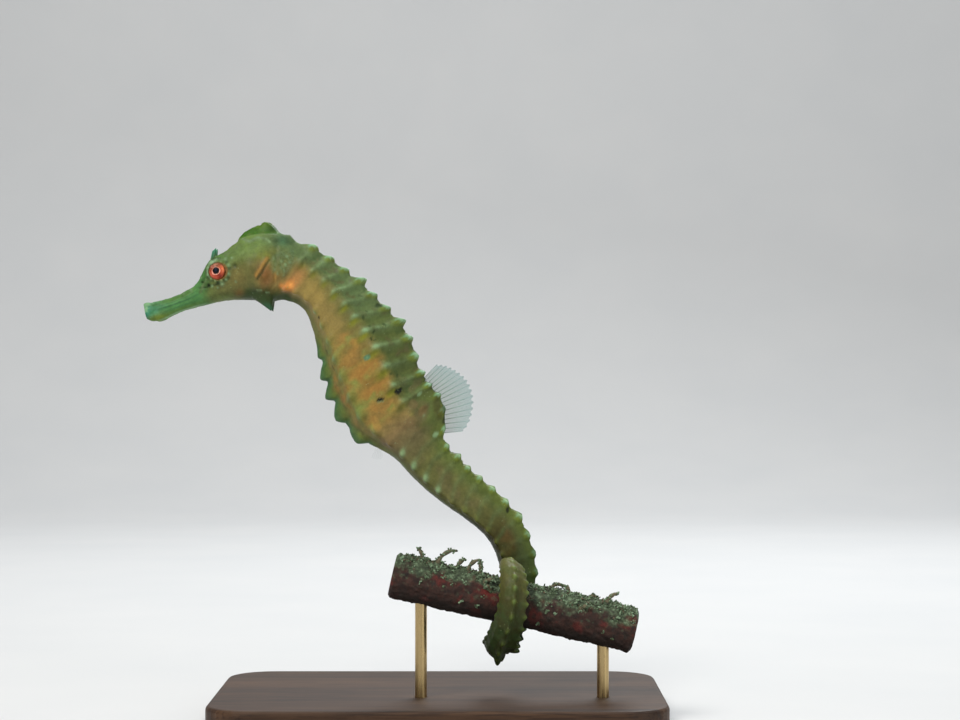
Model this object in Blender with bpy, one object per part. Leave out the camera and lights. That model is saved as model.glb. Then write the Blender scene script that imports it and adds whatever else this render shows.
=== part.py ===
"""A seahorse holding a cut branch with its tail, on a small display stand: a still, life-size model.

Metres, +Z up. The animal faces -X and its own left flank faces -Y. Head, trunk and upper tail are
symmetric about the plane Y = 0, and the tail's end winds once round the branch, which lies in front of
that plane. The origin is the middle of the base's underside.
"""

import math

import bmesh
import bpy
import numpy as np
from mathutils import Matrix, Vector

MM = 0.001
GAP = 0.3

# Cross-sections, from the middle of the back down the left flank to the middle of the belly: each point
# is (share of the half width, share of the depth above or below the spine).
ROUND = ((0, 1), (0.47, 0.88), (0.82, 0.57), (0.98, 0.17), (0.97, -0.26), (0.77, -0.64), (0.42, -0.91), (0, -1))
HEAD = ((0, 1), (0.40, 0.92), (0.72, 0.66), (0.92, 0.27), (1, -0.16), (0.86, -0.60), (0.48, -0.90), (0, -1))
TRUNK = ((0, 0.91), (0.46, 1), (0.76, 0.66), (1, 0.31), (0.91, -0.16), (0.76, -0.60), (0.36, -0.82), (0, -1))
TAIL = ((0, 0.90), (0.68, 1), (0.90, 0.56), (1, 0.12), (0.97, -0.28), (0.88, -0.66), (0.48, -0.90), (0, -1))
RIDGES = {"superior": 1, "lateral": 3, "inferior": 5, "keel": 7}

# Landmark, distance along the spine from the lips, heading there (0 is +X, 90 is +Z), depth of the back
# and of the belly from the spine, half width, and section. Millimetres and degrees.
BODY = (
    ("lips", 0.0, 11.0, 1.75, 1.0, 1.2, ROUND),
    ("chin", 2.2, 16.0, 1.6, 2.0, 1.6, ROUND),
    ("snout waist", 5.1, 19.0, 1.4, 1.65, 1.45, ROUND),
    ("snout middle", 8.3, 21.0, 1.55, 1.6, 1.6, ROUND),
    ("snout root", 11.2, 31.0, 1.9, 2.3, 2.1, ROUND),
    ("nostrils", 13.3, 35.0, 2.65, 3.1, 2.9, HEAD),
    ("eyes", 15.8, 30.0, 4.1, 4.2, 3.6, HEAD),
    ("cheeks", 19.2, 24.0, 4.6, 5.65, 4.3, HEAD),
    ("gill cover", 22.6, 12.0, 5.85, 6.5, 4.9, HEAD),
    ("nape", 26.5, -6.5, 5.85, 6.85, 4.6, HEAD),
    ("neck", 31.7, -32.0, 5.2, 5.6, 3.9, TRUNK),
    ("shoulders", 36.8, -47.5, 5.8, 4.65, 4.2, TRUNK),
    ("chest", 41.9, -55.5, 6.8, 5.75, 4.8, TRUNK),
    ("breast", 47.4, -60.5, 8.2, 7.15, 5.5, TRUNK),
    ("belly", 52.5, -63.0, 8.8, 8.3, 6.0, TRUNK),
    ("lower belly", 57.8, -64.5, 8.0, 8.7, 6.1, TRUNK),
    ("fin hump", 63.0, -56.5, 8.6, 8.2, 5.5, TRUNK),
    ("vent", 66.5, -53.0, 8.8, 6.4, 4.9, TRUNK),
    ("tail root", 70.0, -52.0, 7.2, 4.9, 4.2, TAIL),
    ("second tail ring", 73.5, -49.5, 4.3, 4.6, 3.9, TAIL),
    ("upper tail", 79.0, -43.0, 3.8, 4.3, 3.65, TAIL),
    ("middle tail", 87.0, -40.0, 3.65, 3.7, 3.5, TAIL),
    ("lower tail", 93.0, -54.0, 3.5, 3.3, 3.4, TAIL),
    ("above the branch", 99.0, -75.5, 3.4, 3.2, 3.3, TAIL),
    ("behind the branch", 107.2, -103.0, 3.1, 2.9, 3.0, TAIL),
    ("under the branch", 120.0, -103.0, 2.65, 2.45, 2.7, TAIL),
    ("in front of the branch", 131.5, -103.0, 2.25, 2.05, 2.3, TAIL),
    ("over the branch", 141.5, -103.0, 1.75, 1.6, 2.5, TAIL),
    ("tail tip", 149.0, -103.0, 0.55, 0.5, 0.6, ROUND),
)
LIPS = (-48.4, 75.9)

# The coil starts behind the branch, in a plane square to it, and runs under it, up its front and over it.
COIL_START = 107.2
BRANCH_SLOPE = -13.0
BRANCH_RADIUS = 4.4
# Degrees round the branch from behind it, radius of the spine there, degrees that the back has turned
# outwards, and how far the spine has swayed along the branch.
COIL = (
    (-20, 9.2, 0, 1.3),
    (0, 9.2, 0, 1.3),
    (45, 8.5, 22, 0.6),
    (95, 7.65, 48, 0.0),
    (180, 7.2, 48, 0.5),
    (270, 6.4, 65, -1.1),
    (350, 5.3, 80, -1.8),
)

TRUNK_RINGS = 11
TAIL_RINGS = 36
LONG_TRUNK_SPINES = (4, 7)
BACK_RIDGE = 0.4
KEEL_SPINES = {6: 0.3, 7: 0.6, 8: 1.2, 11: 0.7}
LONG_TAIL_SPINES = (5, 10, 15, 20)

# Where the body is parted, in millimetres along the spine.
FLESH = (
    ("snout", 0.0, 11.4),
    ("head", 11.4, 28.8),
    ("neck", 28.8, 38.2),
    ("trunk_upper", 38.2, 50.6),
    ("trunk_lower", 50.6, 64.6),
    ("tail_1", 64.6, 81.0),
    ("tail_2", 81.0, 96.6),
    ("tail_3", 96.6, 109.6),
    ("tail_4", 109.6, 122.0),
    ("tail_5", 122.0, 134.0),
    ("tail_tip", 134.0, 150.0),
)

EYE_PLACE = 16.2
EYE_ABOVE_SPINE = 1.75
EYE_OUT = 2.75
EYE_RADIUS = 1.9
EYE_HALF_THICKNESS = 1.5

FIN_THICKNESS = 0.5
DORSAL_FIN_BASE = (60.8, 71.8)
DORSAL_FIN_RAYS = 17
DORSAL_FIN_HEIGHT = 6.7

PERCH_ENDS = (-22.0, 24.0)
ROD_PLACES = {"stand_rod_left": -16.5, "stand_rod_right": 18.0}
ROD_RADIUS = 1.1
ROD_DEPTH_IN_PERCH = 2.0
ROD_DEPTH_IN_BASE = 2.5
HOLE_CLEARANCE = 0.3

BASE_LEFT = -35.0
BASE_RIGHT = 48.9
BASE_HALF_DEPTH = 28.0
BASE_THICKNESS = 5.0
BASE_CORNER = 9.0
BASE_EDGE = 0.8

COLOURS = {
    "body": (0.21, 0.20, 0.07),
    "coronet": (0.33, 0.36, 0.10),
    "eye": (0.62, 0.13, 0.05),
    "fin": (0.25, 0.36, 0.27),
    "perch": (0.12, 0.05, 0.03),
    "base": (0.05, 0.03, 0.02),
    "rod": (0.55, 0.43, 0.24),
}


def smooth_through(places, values, at):
    """Reads a cubic Hermite curve through the values, which may be rows of numbers."""
    places = np.asarray(places, float)
    values = np.asarray(values, float).reshape(len(places), -1)
    at = np.atleast_1d(at)
    slopes = np.gradient(values, places, axis=0)
    i = np.clip(np.searchsorted(places, at) - 1, 0, len(places) - 2)
    span = (places[i + 1] - places[i])[:, None]
    t = np.clip((at - places[i])[:, None] / span, 0, 1)
    start = (1 + 2 * t) * (1 - t) ** 2 * values[i] + t * (1 - t) ** 2 * span * slopes[i]
    end = t**2 * (3 - 2 * t) * values[i + 1] + t**2 * (t - 1) * span * slopes[i + 1]
    return start + end


def unit(rows):
    return rows / np.linalg.norm(rows, axis=-1, keepdims=True)


class Spine:
    """The line through the body and its frame. All in millimetres; back and side point out of the animal."""

    step = 0.1

    def __init__(self):
        in_plane, plane_backs = self.plane_part()
        in_coil, coil_backs = self.coil_part(in_plane[-1])
        centres = np.concatenate([in_plane, in_coil[1:]])
        backs = np.concatenate([plane_backs, coil_backs[1:]])
        along = np.concatenate([[0], np.cumsum(np.linalg.norm(np.diff(centres, axis=0), axis=1))])
        self.length = along[-1]
        self.at = np.arange(0, self.length, self.step)
        self.centres = self.softened(self.resampled(along, centres))
        forward = unit(np.gradient(self.centres, axis=0))
        backs = self.resampled(along, backs)
        self.backs = unit(backs - forward * (backs * forward).sum(1, keepdims=True))
        self.forwards = forward

    def plane_part(self):
        at = np.arange(0, COIL_START + self.step / 2, self.step)
        heading = np.radians(smooth_through([row[1] for row in BODY], [row[2] for row in BODY], at)[:, 0])
        zero = np.zeros_like(heading)
        forward = np.stack([np.cos(heading), zero, np.sin(heading)], 1)
        middles = (forward[1:] + forward[:-1]) / 2
        start = np.array([[LIPS[0], 0, LIPS[1]]])
        centres = np.concatenate([start, start + np.cumsum(middles, axis=0) * self.step])
        return centres, np.stack([-np.sin(heading), zero, np.cos(heading)], 1)

    def coil_part(self, start):
        slope = math.radians(BRANCH_SLOPE)
        self.axis = np.array([math.cos(slope), 0, math.sin(slope)])
        self.up = np.array([-math.sin(slope), 0, math.cos(slope)])
        away = np.array([0, 1, 0])
        degrees = np.arange(0, COIL[-1][0] + 0.25, 0.5)
        radius, turn, sway = smooth_through([row[0] for row in COIL], [row[1:] for row in COIL], degrees).T
        angle, turn = np.radians(degrees), np.radians(turn)
        outward = np.cos(angle)[:, None] * away - np.sin(angle)[:, None] * self.up
        self.hub = start - sway[0] * self.axis - radius[0] * away
        centres = self.hub + sway[:, None] * self.axis + radius[:, None] * outward
        return centres, np.cos(turn)[:, None] * self.axis + np.sin(turn)[:, None] * outward

    def resampled(self, along, rows):
        return np.stack([np.interp(self.at, along, column) for column in rows.T], 1)

    def softened(self, rows, reach=15):
        """Averages along the line, so that the coil starts without a kink. The ends stay put."""
        padded = np.concatenate([2 * rows[0] - rows[reach:0:-1], rows, 2 * rows[-1] - rows[-2 : -reach - 2 : -1]])
        window = np.hanning(2 * reach + 3)[1:-1]
        return np.stack([np.convolve(column, window / window.sum(), "valid") for column in padded.T], 1)

    def frame(self, place):
        """The centre, forward, back and left-side vectors at a place along the spine."""
        rows = [
            np.array([np.interp(place, self.at, column) for column in table.T])
            for table in (self.centres, self.forwards, self.backs)
        ]
        centre, forward, back = rows[0], unit(rows[1]), unit(rows[2])
        return centre, forward, back, np.cross(forward, back)

    def point(self, place, above, left):
        centre, _, back, side = self.frame(place)
        return centre + above * back + left * side


def body_size(place):
    """Depth of the back and of the belly, half width, and the cross-section, at a place along the spine."""
    rows = [(*row[3:6], *np.ravel(row[6])) for row in BODY]
    values = smooth_through([row[1] for row in BODY], rows, place)[0]
    return values[0], values[1], values[2], values[3:].reshape(-1, 2)


def trunk_ring(number):
    """Place of a trunk ring along the spine: the rings are numbered from 1 and widen towards the tail."""
    steps = number - 1
    return 31.3 + 2.65 * steps + 0.048 * steps**2


def tail_ring(number):
    """Place of a tail ring: evenly spaced along the upper tail, then closer and closer to the tip."""
    return 62.6 + 3.08 * number - 0.037 * max(0, number - 10) ** 2


def ring_list():
    """Every ring as (place, pitch, height of each ridge's spine, slant of each ridge's spine)."""
    rings = [(27.9, 2.4, {"superior": 0.5}, {})]
    for number in range(1, TRUNK_RINGS + 1):
        long_one = number in LONG_TRUNK_SPINES
        keel = KEEL_SPINES.get(number, 0.12 if number < 6 else 1.4)
        # The last one lies under the foot of the dorsal fin.
        superior = 0.5 if number == TRUNK_RINGS else 1.85 if long_one else 1.1
        heights = {"superior": superior, "lateral": 0.45, "inferior": 0.35, "keel": keel}
        keel_slant = -0.6 if number < 7 else 0.95 * (number - 9)
        slants = {"lateral": -1.2, "inferior": -2.2, "keel": keel_slant}
        pitch = trunk_ring(number + 1) - trunk_ring(number)
        rings.append((trunk_ring(number), pitch, heights, slants))
    for number in range(1, TAIL_RINGS + 1):
        pitch = tail_ring(number + 1) - tail_ring(number)
        size = pitch / 3.08
        long_one = number in LONG_TAIL_SPINES
        # The first lie under the dorsal fin, and the last are worn down.
        low = number < 4 or number > 28
        heights = {"superior": size * (1.4 if long_one else 0.5 if low else 0.95), "inferior": 0.35 * size}
        rings.append((tail_ring(number), pitch, heights, {"inferior": -1.2 * size}))
    return rings


def outline(spine, place, heights=None, slants=None):
    """The closed outline across the body: middle of the back, left flank, middle of the belly, right flank."""
    depth_back, depth_belly, half_width, section = body_size(place)
    raised = {RIDGES[name]: height for name, height in (heights or {}).items()}
    shifts = {RIDGES[name]: slant for name, slant in (slants or {}).items()}
    left, right = [], []
    for i, (across, above) in enumerate(section):
        depth = depth_back if above > 0 else depth_belly
        spot = np.array([across * half_width, above * depth])
        spot = spot + unit(spot) * raised.get(i, 0)
        there = place + shifts.get(i, 0)
        left.append(spine.point(there, spot[1], spot[0]))
        if 0 < i < len(section) - 1:
            right.append(spine.point(there, spot[1], -spot[0]))
    return left + right[::-1]


def loft(outlines):
    """A closed mesh through outlines of equal length, with flat ends."""
    mesh = bmesh.new()
    loops = [[mesh.verts.new(Vector(point) * MM) for point in points] for points in outlines]
    count = len(loops[0])
    for here, there in zip(loops, loops[1:]):
        for i in range(count):
            j = (i + 1) % count
            mesh.faces.new((here[i], here[j], there[j], there[i]))
    mesh.faces.new(loops[0][::-1])
    mesh.faces.new(loops[-1])
    bmesh.ops.triangulate(mesh, faces=[face for face in mesh.faces if len(face.verts) == 4])
    bmesh.ops.recalc_face_normals(mesh, faces=mesh.faces)
    return mesh


def body_outlines(spine, start, end):
    """Outlines from start to end: three for each ring, and one for about every 1.5 mm where there are none."""
    stations = [(start, None, None), (end, None, None)]
    for place, pitch, heights, slants in ring_list():
        between = {"superior": BACK_RIDGE * min(1, max(heights["superior"] - 0.4, 0))}
        for share, ring in ((-0.33, (between, None)), (0, (heights, slants)), (0.3, (between, None))):
            at = place + share * pitch
            if start + 0.12 * pitch < at < end - 0.12 * pitch:
                stations.append((at, *ring))
    first_ring = trunk_ring(1) - 1
    if start < first_ring:
        places = np.linspace(start, min(end, first_ring), round((min(end, first_ring) - start) / 1.5) + 1)
        stations += [(place, None, None) for place in places[1:-1]]
    return [outline(spine, *station) for station in sorted(stations, key=lambda station: station[0])]


def material(name, colour, roughness=0.5, metallic=0.0):
    made = bpy.data.materials.new(name)
    made.use_nodes = True
    shader = made.node_tree.nodes["Principled BSDF"]
    shader.inputs["Base Color"].default_value = (*colour, 1)
    shader.inputs["Roughness"].default_value = roughness
    shader.inputs["Metallic"].default_value = metallic
    made.diffuse_color = (*colour, 1)
    return made


def new_collection(name):
    made = bpy.data.collections.new(name)
    bpy.context.scene.collection.children.link(made)
    return made


def add_mesh(name, mesh, collection):
    data = bpy.data.meshes.new(name)
    mesh.to_mesh(data)
    mesh.free()
    made = bpy.data.objects.new(name, data)
    collection.objects.link(made)
    return made


def finish_node(node, colour, roughness=0.5, metallic=0.0):
    node.data.materials.append(material(node.name, COLOURS[colour], roughness, metallic))
    return node


def boolean(node, tool, operation):
    """Cuts or joins with a tool object, which stays in the scene as a wire helper."""
    modifier = node.modifiers.new(operation.lower(), "BOOLEAN")
    modifier.operation = operation
    modifier.solver = "EXACT"
    modifier.object = tool
    tool.hide_render = True
    tool.display_type = "WIRE"


def thorn(name, foot, tip, radius, collection, sides=7):
    """A slim cone from foot to tip, both in millimetres."""
    foot, tip = Vector(foot) * MM, Vector(tip) * MM
    lean = Vector((0, 0, 1)).rotation_difference(tip - foot).to_matrix().to_4x4()
    mesh = bmesh.new()
    bmesh.ops.create_cone(
        mesh,
        cap_ends=True,
        segments=sides,
        radius1=radius * MM,
        radius2=0.12 * MM,
        depth=(tip - foot).length,
        matrix=Matrix.Translation((foot + tip) / 2) @ lean,
    )
    return add_mesh(name, mesh, collection)


def eye_shape(name, spine, side, margin, collection):
    """A flattened ball whose short axis points out of the head."""
    centre, forward, back, left = spine.frame(EYE_PLACE)
    turn = Matrix([forward, back, left * side]).transposed().to_4x4()
    place = spine.point(EYE_PLACE, EYE_ABOVE_SPINE, side * EYE_OUT)
    mesh = bmesh.new()
    bmesh.ops.create_uvsphere(mesh, u_segments=20, v_segments=11, radius=1)
    across = (EYE_RADIUS + margin) * MM
    deep = (EYE_HALF_THICKNESS + margin) * MM
    size = Matrix.Diagonal((across, across, deep, 1))
    bmesh.ops.transform(mesh, matrix=Matrix.Translation(Vector(place) * MM) @ turn @ size, verts=mesh.verts)
    bmesh.ops.recalc_face_normals(mesh, faces=mesh.faces)
    return add_mesh(name, mesh, collection)


def build_flesh(spine, parts, tools):
    """The body in lengths, with a thin gap between each and the next, and the head's thorns and eye sockets."""
    for name, start, end in FLESH:
        first = start + (GAP / 2 if start else 0)
        last = min(end - GAP / 2, spine.length)
        node = add_mesh(name, loft(body_outlines(spine, first, last)), parts)
        finish_node(node, "body", 0.55)
        if name != "head":
            continue
        for side, tag in ((1, "left"), (-1, "right")):
            cheek = thorn(
                f"cheek_thorn_{tag}",
                spine.point(21.9, -4.5, side * 2.1),
                spine.point(27.8, -8.6, side * 3.4),
                2.1,
                tools,
            )
            boolean(node, cheek, "UNION")
            brow = thorn(
                f"brow_thorn_{tag}",
                spine.point(16.7, 2.9, side * 2.0),
                spine.point(17.2, 5.8, side * 2.7),
                0.7,
                tools,
            )
            boolean(node, brow, "UNION")
            boolean(node, eye_shape(f"eye_socket_{tag}", spine, side, GAP, tools), "DIFFERENCE")


def build_eyes(spine, parts):
    for side, tag in ((1, "left"), (-1, "right")):
        finish_node(eye_shape(f"eye_{tag}", spine, side, 0, parts), "eye", 0.1)


def build_coronet(spine, parts):
    """The low crown on the nape: a five-pointed cup that leans back a little."""
    # Share of the height, centre along the spine, half length, half width.
    levels = ((0, 23.9, 2.5, 1.2), (0.5, 24.3, 1.6, 1.05), (0.85, 24.6, 0.95, 0.9), (1, 24.65, 0.6, 0.55))
    foot, height = 6.2, 1.8
    outlines = []
    for share, centre, half_length, half_width in levels:
        points = []
        for k in range(20):
            angle = math.tau * k / 20
            knob = 1 + 0.22 * share * math.cos(5 * angle)
            along = centre + half_length * knob * math.cos(angle)
            left = half_width * knob * math.sin(angle)
            tip = 0.3 * share**3 * math.cos(5 * angle)
            points.append(spine.point(along, foot + height * share + tip, left))
        outlines.append(points)
    finish_node(add_mesh("coronet", loft(outlines), parts), "coronet", 0.55)


def plate(name, corners, axes, origin, collection):
    """A flat fin: a closed 2D curve through corners in the plane of the first two axes, given thickness."""
    curve = bpy.data.curves.new(name, "CURVE")
    curve.dimensions = "2D"
    curve.fill_mode = "BOTH"
    curve.extrude = FIN_THICKNESS / 2 * MM
    line = curve.splines.new("POLY")
    line.points.add(len(corners) - 1)
    for point, (x, y) in zip(line.points, corners):
        point.co = (x * MM, y * MM, 0, 1)
    line.use_cyclic_u = True
    made = bpy.data.objects.new(name, curve)
    made.matrix_world = Matrix.Translation(Vector(origin) * MM) @ Matrix(axes).transposed().to_4x4()
    collection.objects.link(made)
    return made


def build_dorsal_fin(spine, parts):
    """A fan on the hump of the back: each ray has its own foot, length and slant."""
    first, last = DORSAL_FIN_BASE
    feet, tips = [], []
    for ray in range(DORSAL_FIN_RAYS):
        share = ray / (DORSAL_FIN_RAYS - 1)
        place = first + (last - first) * share
        depth = body_size(place)[0] * body_size(place)[3][0][1]
        foot = spine.point(place, depth + GAP + 0.1, 0)
        _, forward, back, _ = spine.frame(place)
        lean = math.radians(min(40, 64 * share - 20))
        ray_length = DORSAL_FIN_HEIGHT * math.sin(math.pi * (0.15 + 0.72 * share)) ** 0.6
        feet.append(foot)
        tips.append(foot + ray_length * (math.cos(lean) * back + math.sin(lean) * forward))
    corners = [(point[0], point[2]) for point in feet + tips[::-1]]
    fin = plate("fin_dorsal", corners, ((1, 0, 0), (0, 0, 1), (0, -1, 0)), (0, 0, 0), parts)
    finish_node(fin, "fin", 0.4)


def fan(radius, spread, root, count=9):
    """A fan outline that opens along +x from a short root along y."""
    edge = [math.radians(spread * (0.5 - k / (count - 1))) for k in range(count)]
    return [(0, -root)] + [(radius * math.cos(a), radius * math.sin(a)) for a in edge[::-1]] + [(0, root)]


def build_small_fins(spine, parts):
    """The two pectoral fins behind the gills, spread a little from the flank, and the tiny anal fin."""
    for side, tag in ((1, "left"), (-1, "right")):
        place, above = 27.6, 1.4
        _, forward, back, left = spine.frame(place)
        outward = unit(0.85 * forward + 0.62 * left * side - 0.1 * back)
        upward = unit(back - outward * (back @ outward))
        foot = spine.point(place, above, side * (body_size(place)[2] + 0.75))
        axes = (outward, upward, np.cross(outward, upward))
        finish_node(plate(f"fin_pectoral_{tag}", fan(3.4, 95, 1.1), axes, foot, parts), "fin", 0.4)
    place = 67.0
    _, forward, back, left = spine.frame(place)
    outward = unit(0.75 * forward - 0.66 * back)
    axes = (outward, np.cross(left, outward), left)
    foot = spine.point(place, -body_size(place)[1] - GAP, 0)
    finish_node(plate("fin_anal", fan(1.9, 70, 0.5, 5), axes, foot, parts), "fin", 0.4)


def round_post(name, foot, top, radius, collection):
    mesh = bmesh.new()
    foot, top = Vector(foot) * MM, Vector(top) * MM
    lean = Vector((0, 0, 1)).rotation_difference(top - foot).to_matrix().to_4x4()
    bmesh.ops.create_cone(
        mesh,
        cap_ends=True,
        segments=24,
        radius1=radius * MM,
        radius2=radius * MM,
        depth=(top - foot).length,
        matrix=Matrix.Translation((foot + top) / 2) @ lean,
    )
    return add_mesh(name, mesh, collection)


def build_perch(spine, parts):
    """A cut length of branch, round where the tail holds it and a little knobbly towards its ends."""
    outlines = []
    sides = 18
    places = np.linspace(*PERCH_ENDS, 24)
    for along in places:
        free = min(1, max(0, (abs(along) - 5) / 4))
        points = []
        for k in range(sides):
            angle = math.tau * k / sides
            knobs = 0.22 * math.sin(0.55 * along + 2 * angle) + 0.16 * math.sin(0.31 * along - 3 * angle + 1)
            radius = BRANCH_RADIUS + free * knobs
            away = math.cos(angle) * np.array([0, 1, 0]) - math.sin(angle) * spine.up
            points.append(spine.hub + along * spine.axis + radius * away)
        outlines.append(points)
    return finish_node(add_mesh("perch", loft(outlines), parts), "perch", 0.8)


def build_base(parts):
    """A flat plate with round corners and a softened upper edge."""
    mesh = bmesh.new()
    size = Vector((BASE_RIGHT - BASE_LEFT, 2 * BASE_HALF_DEPTH, BASE_THICKNESS)) * MM
    middle = Vector(((BASE_RIGHT + BASE_LEFT) / 2, 0, BASE_THICKNESS / 2)) * MM
    bmesh.ops.create_cube(mesh, size=1, matrix=Matrix.Translation(middle) @ Matrix.Diagonal((*size, 1)))
    uprights = [edge for edge in mesh.edges if abs(edge.verts[0].co.z - edge.verts[1].co.z) > MM]
    bmesh.ops.bevel(mesh, geom=uprights, offset=BASE_CORNER * MM, segments=8, profile=0.5, affect="EDGES")
    top = BASE_THICKNESS * MM * 0.99
    rim = [edge for edge in mesh.edges if min(v.co.z for v in edge.verts) > top and len(edge.link_faces) == 2]
    bmesh.ops.bevel(mesh, geom=rim, offset=BASE_EDGE * MM, segments=3, profile=0.5, affect="EDGES")
    return finish_node(add_mesh("stand_base", mesh, parts), "base", 0.35)


def build_stand(spine, parts, tools):
    """The base, and two rods that stand in holes in the base and reach into holes in the perch."""
    perch = build_perch(spine, parts)
    base = build_base(parts)
    for name, along in ROD_PLACES.items():
        middle = spine.hub + along * spine.axis
        seat = middle[2] - BRANCH_RADIUS / math.cos(math.radians(BRANCH_SLOPE))
        foot = (middle[0], middle[1], BASE_THICKNESS - ROD_DEPTH_IN_BASE)
        top = (middle[0], middle[1], seat + ROD_DEPTH_IN_PERCH)
        finish_node(round_post(name, foot, top, ROD_RADIUS, parts), "rod", 0.3, 1.0)
        margin = np.array([0, 0, HOLE_CLEARANCE])
        hole = round_post(f"{name}_hole", foot - margin, top + margin, ROD_RADIUS + HOLE_CLEARANCE / 2, tools)
        boolean(perch, hole, "DIFFERENCE")
        boolean(base, hole, "DIFFERENCE")


def main():
    for old in list(bpy.data.objects):
        bpy.data.objects.remove(old, do_unlink=True)
    parts = new_collection("seahorse")
    tools = new_collection("tools")
    spine = Spine()
    build_flesh(spine, parts, tools)
    build_eyes(spine, parts)
    build_coronet(spine, parts)
    build_dorsal_fin(spine, parts)
    build_small_fins(spine, parts)
    build_stand(spine, parts, tools)


main()
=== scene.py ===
"""The looks of the seahorse: one skin over the whole body, eyes, fins, branch, stand, floor, light, camera.

Sizes are in millimetres until a mesh is made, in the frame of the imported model: +Z up, the animal faces -X
and shows its left flank, -Y, to the camera. A spot on the body is given by its place along the spine from
the lips, and by where it lies round the body: 0 is the middle of the back, 1 the superior ridge, 3 the
lateral ridge, 5 the inferior ridge and 7 the keel of the left side, and 14 less that on the right.
"""

import math

import bmesh
import bpy
import numpy as np
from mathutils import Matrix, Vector, noise


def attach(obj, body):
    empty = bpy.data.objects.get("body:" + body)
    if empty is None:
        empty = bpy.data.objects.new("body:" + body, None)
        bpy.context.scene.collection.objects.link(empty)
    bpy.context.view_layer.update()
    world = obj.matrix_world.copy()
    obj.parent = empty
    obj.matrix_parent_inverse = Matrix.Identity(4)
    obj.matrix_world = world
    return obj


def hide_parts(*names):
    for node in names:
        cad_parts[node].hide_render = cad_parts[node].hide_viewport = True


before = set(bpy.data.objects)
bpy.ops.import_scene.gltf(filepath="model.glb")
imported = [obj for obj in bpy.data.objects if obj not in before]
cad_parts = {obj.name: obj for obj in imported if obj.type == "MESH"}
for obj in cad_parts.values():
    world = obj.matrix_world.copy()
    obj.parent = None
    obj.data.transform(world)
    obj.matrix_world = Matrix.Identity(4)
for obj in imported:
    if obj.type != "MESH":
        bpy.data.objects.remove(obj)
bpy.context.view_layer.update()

MM = 0.001
rng = np.random.default_rng(7)

# Half cross-sections from the back down the left flank, as shares of half width and of depth.
ROUND = (0, 1), (0.47, 0.88), (0.82, 0.57), (0.98, 0.17), (0.97, -0.26), (0.77, -0.64), (0.42, -0.91), (0, -1)
HEAD = (0, 1), (0.40, 0.92), (0.72, 0.66), (0.92, 0.27), (1, -0.16), (0.86, -0.60), (0.48, -0.90), (0, -1)
TRUNK = (0, 0.91), (0.46, 1), (0.76, 0.66), (1, 0.31), (0.91, -0.16), (0.76, -0.60), (0.36, -0.82), (0, -1)
TAIL = (0, 0.90), (0.68, 1), (0.90, 0.56), (1, 0.12), (0.97, -0.28), (0.88, -0.66), (0.48, -0.90), (0, -1)
SUPERIOR, LATERAL, INFERIOR, KEEL, ALL_ROUND = 1, 3, 5, 7, 14

# Landmark, place along the spine, heading there (0 is +X, 90 is +Z), depth of the back and of the belly
# from the spine, half width, and section.
BODY = (
    ("lips", 0.0, 11.0, 1.75, 1.0, 1.2, ROUND),
    ("chin", 2.2, 16.0, 1.6, 2.0, 1.6, ROUND),
    ("snout waist", 5.1, 19.0, 1.4, 1.65, 1.45, ROUND),
    ("snout middle", 8.3, 21.0, 1.55, 1.6, 1.6, ROUND),
    ("snout root", 11.2, 31.0, 1.9, 2.3, 2.1, ROUND),
    ("nostrils", 13.3, 35.0, 2.65, 3.1, 2.9, HEAD),
    ("eyes", 15.8, 30.0, 4.1, 4.2, 3.6, HEAD),
    ("cheeks", 19.2, 24.0, 4.6, 5.65, 4.3, HEAD),
    ("gill cover", 22.6, 12.0, 5.85, 6.5, 4.9, HEAD),
    ("nape", 26.5, -6.5, 5.85, 6.85, 4.6, HEAD),
    ("neck", 31.7, -32.0, 5.2, 5.6, 3.9, TRUNK),
    ("shoulders", 36.8, -47.5, 5.8, 4.65, 4.2, TRUNK),
    ("chest", 41.9, -55.5, 6.8, 5.75, 4.8, TRUNK),
    ("breast", 47.4, -60.5, 8.2, 7.15, 5.5, TRUNK),
    ("belly", 52.5, -63.0, 8.8, 8.3, 6.0, TRUNK),
    ("lower belly", 57.8, -64.5, 8.0, 8.7, 6.1, TRUNK),
    ("fin hump", 63.0, -56.5, 8.6, 8.2, 5.5, TRUNK),
    ("vent", 66.5, -53.0, 8.8, 6.4, 4.9, TRUNK),
    ("tail root", 70.0, -52.0, 7.2, 4.9, 4.2, TAIL),
    ("second tail ring", 73.5, -49.5, 4.3, 4.6, 3.9, TAIL),
    ("upper tail", 79.0, -43.0, 3.8, 4.3, 3.65, TAIL),
    ("middle tail", 87.0, -40.0, 3.65, 3.7, 3.5, TAIL),
    ("lower tail", 93.0, -54.0, 3.5, 3.3, 3.4, TAIL),
    ("above the branch", 99.0, -75.5, 3.4, 3.2, 3.3, TAIL),
    ("behind the branch", 107.2, -103.0, 3.1, 2.9, 3.0, TAIL),
    ("under the branch", 120.0, -103.0, 2.65, 2.45, 2.7, TAIL),
    ("in front of the branch", 131.5, -103.0, 2.25, 2.05, 2.3, TAIL),
    ("over the branch", 141.5, -103.0, 1.75, 1.6, 2.5, ROUND),
    ("tail tip", 149.0, -103.0, 0.55, 0.5, 0.6, ROUND),
)
PLACES = {row[0]: row[1] for row in BODY}
LIPS = (-48.4, 75.9)
TAIL_END = 149.8

# The coil: degrees round the branch from behind it, radius of the spine, degrees that the back has turned
# outwards, and sway along the branch.
COIL_START = 107.2
BRANCH_SLOPE = -13.0
BRANCH_RADIUS = 4.4
COIL = (
    (-20, 9.2, 0, 1.3),
    (0, 9.2, 0, 1.3),
    (45, 8.5, 22, 0.6),
    (95, 7.65, 48, 0.0),
    (180, 7.2, 48, 0.5),
    (270, 6.4, 65, -1.1),
    (350, 5.3, 80, -1.8),
)

COLLAR = 27.9
TRUNK_RINGS = 11
TAIL_RINGS = 36
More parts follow.
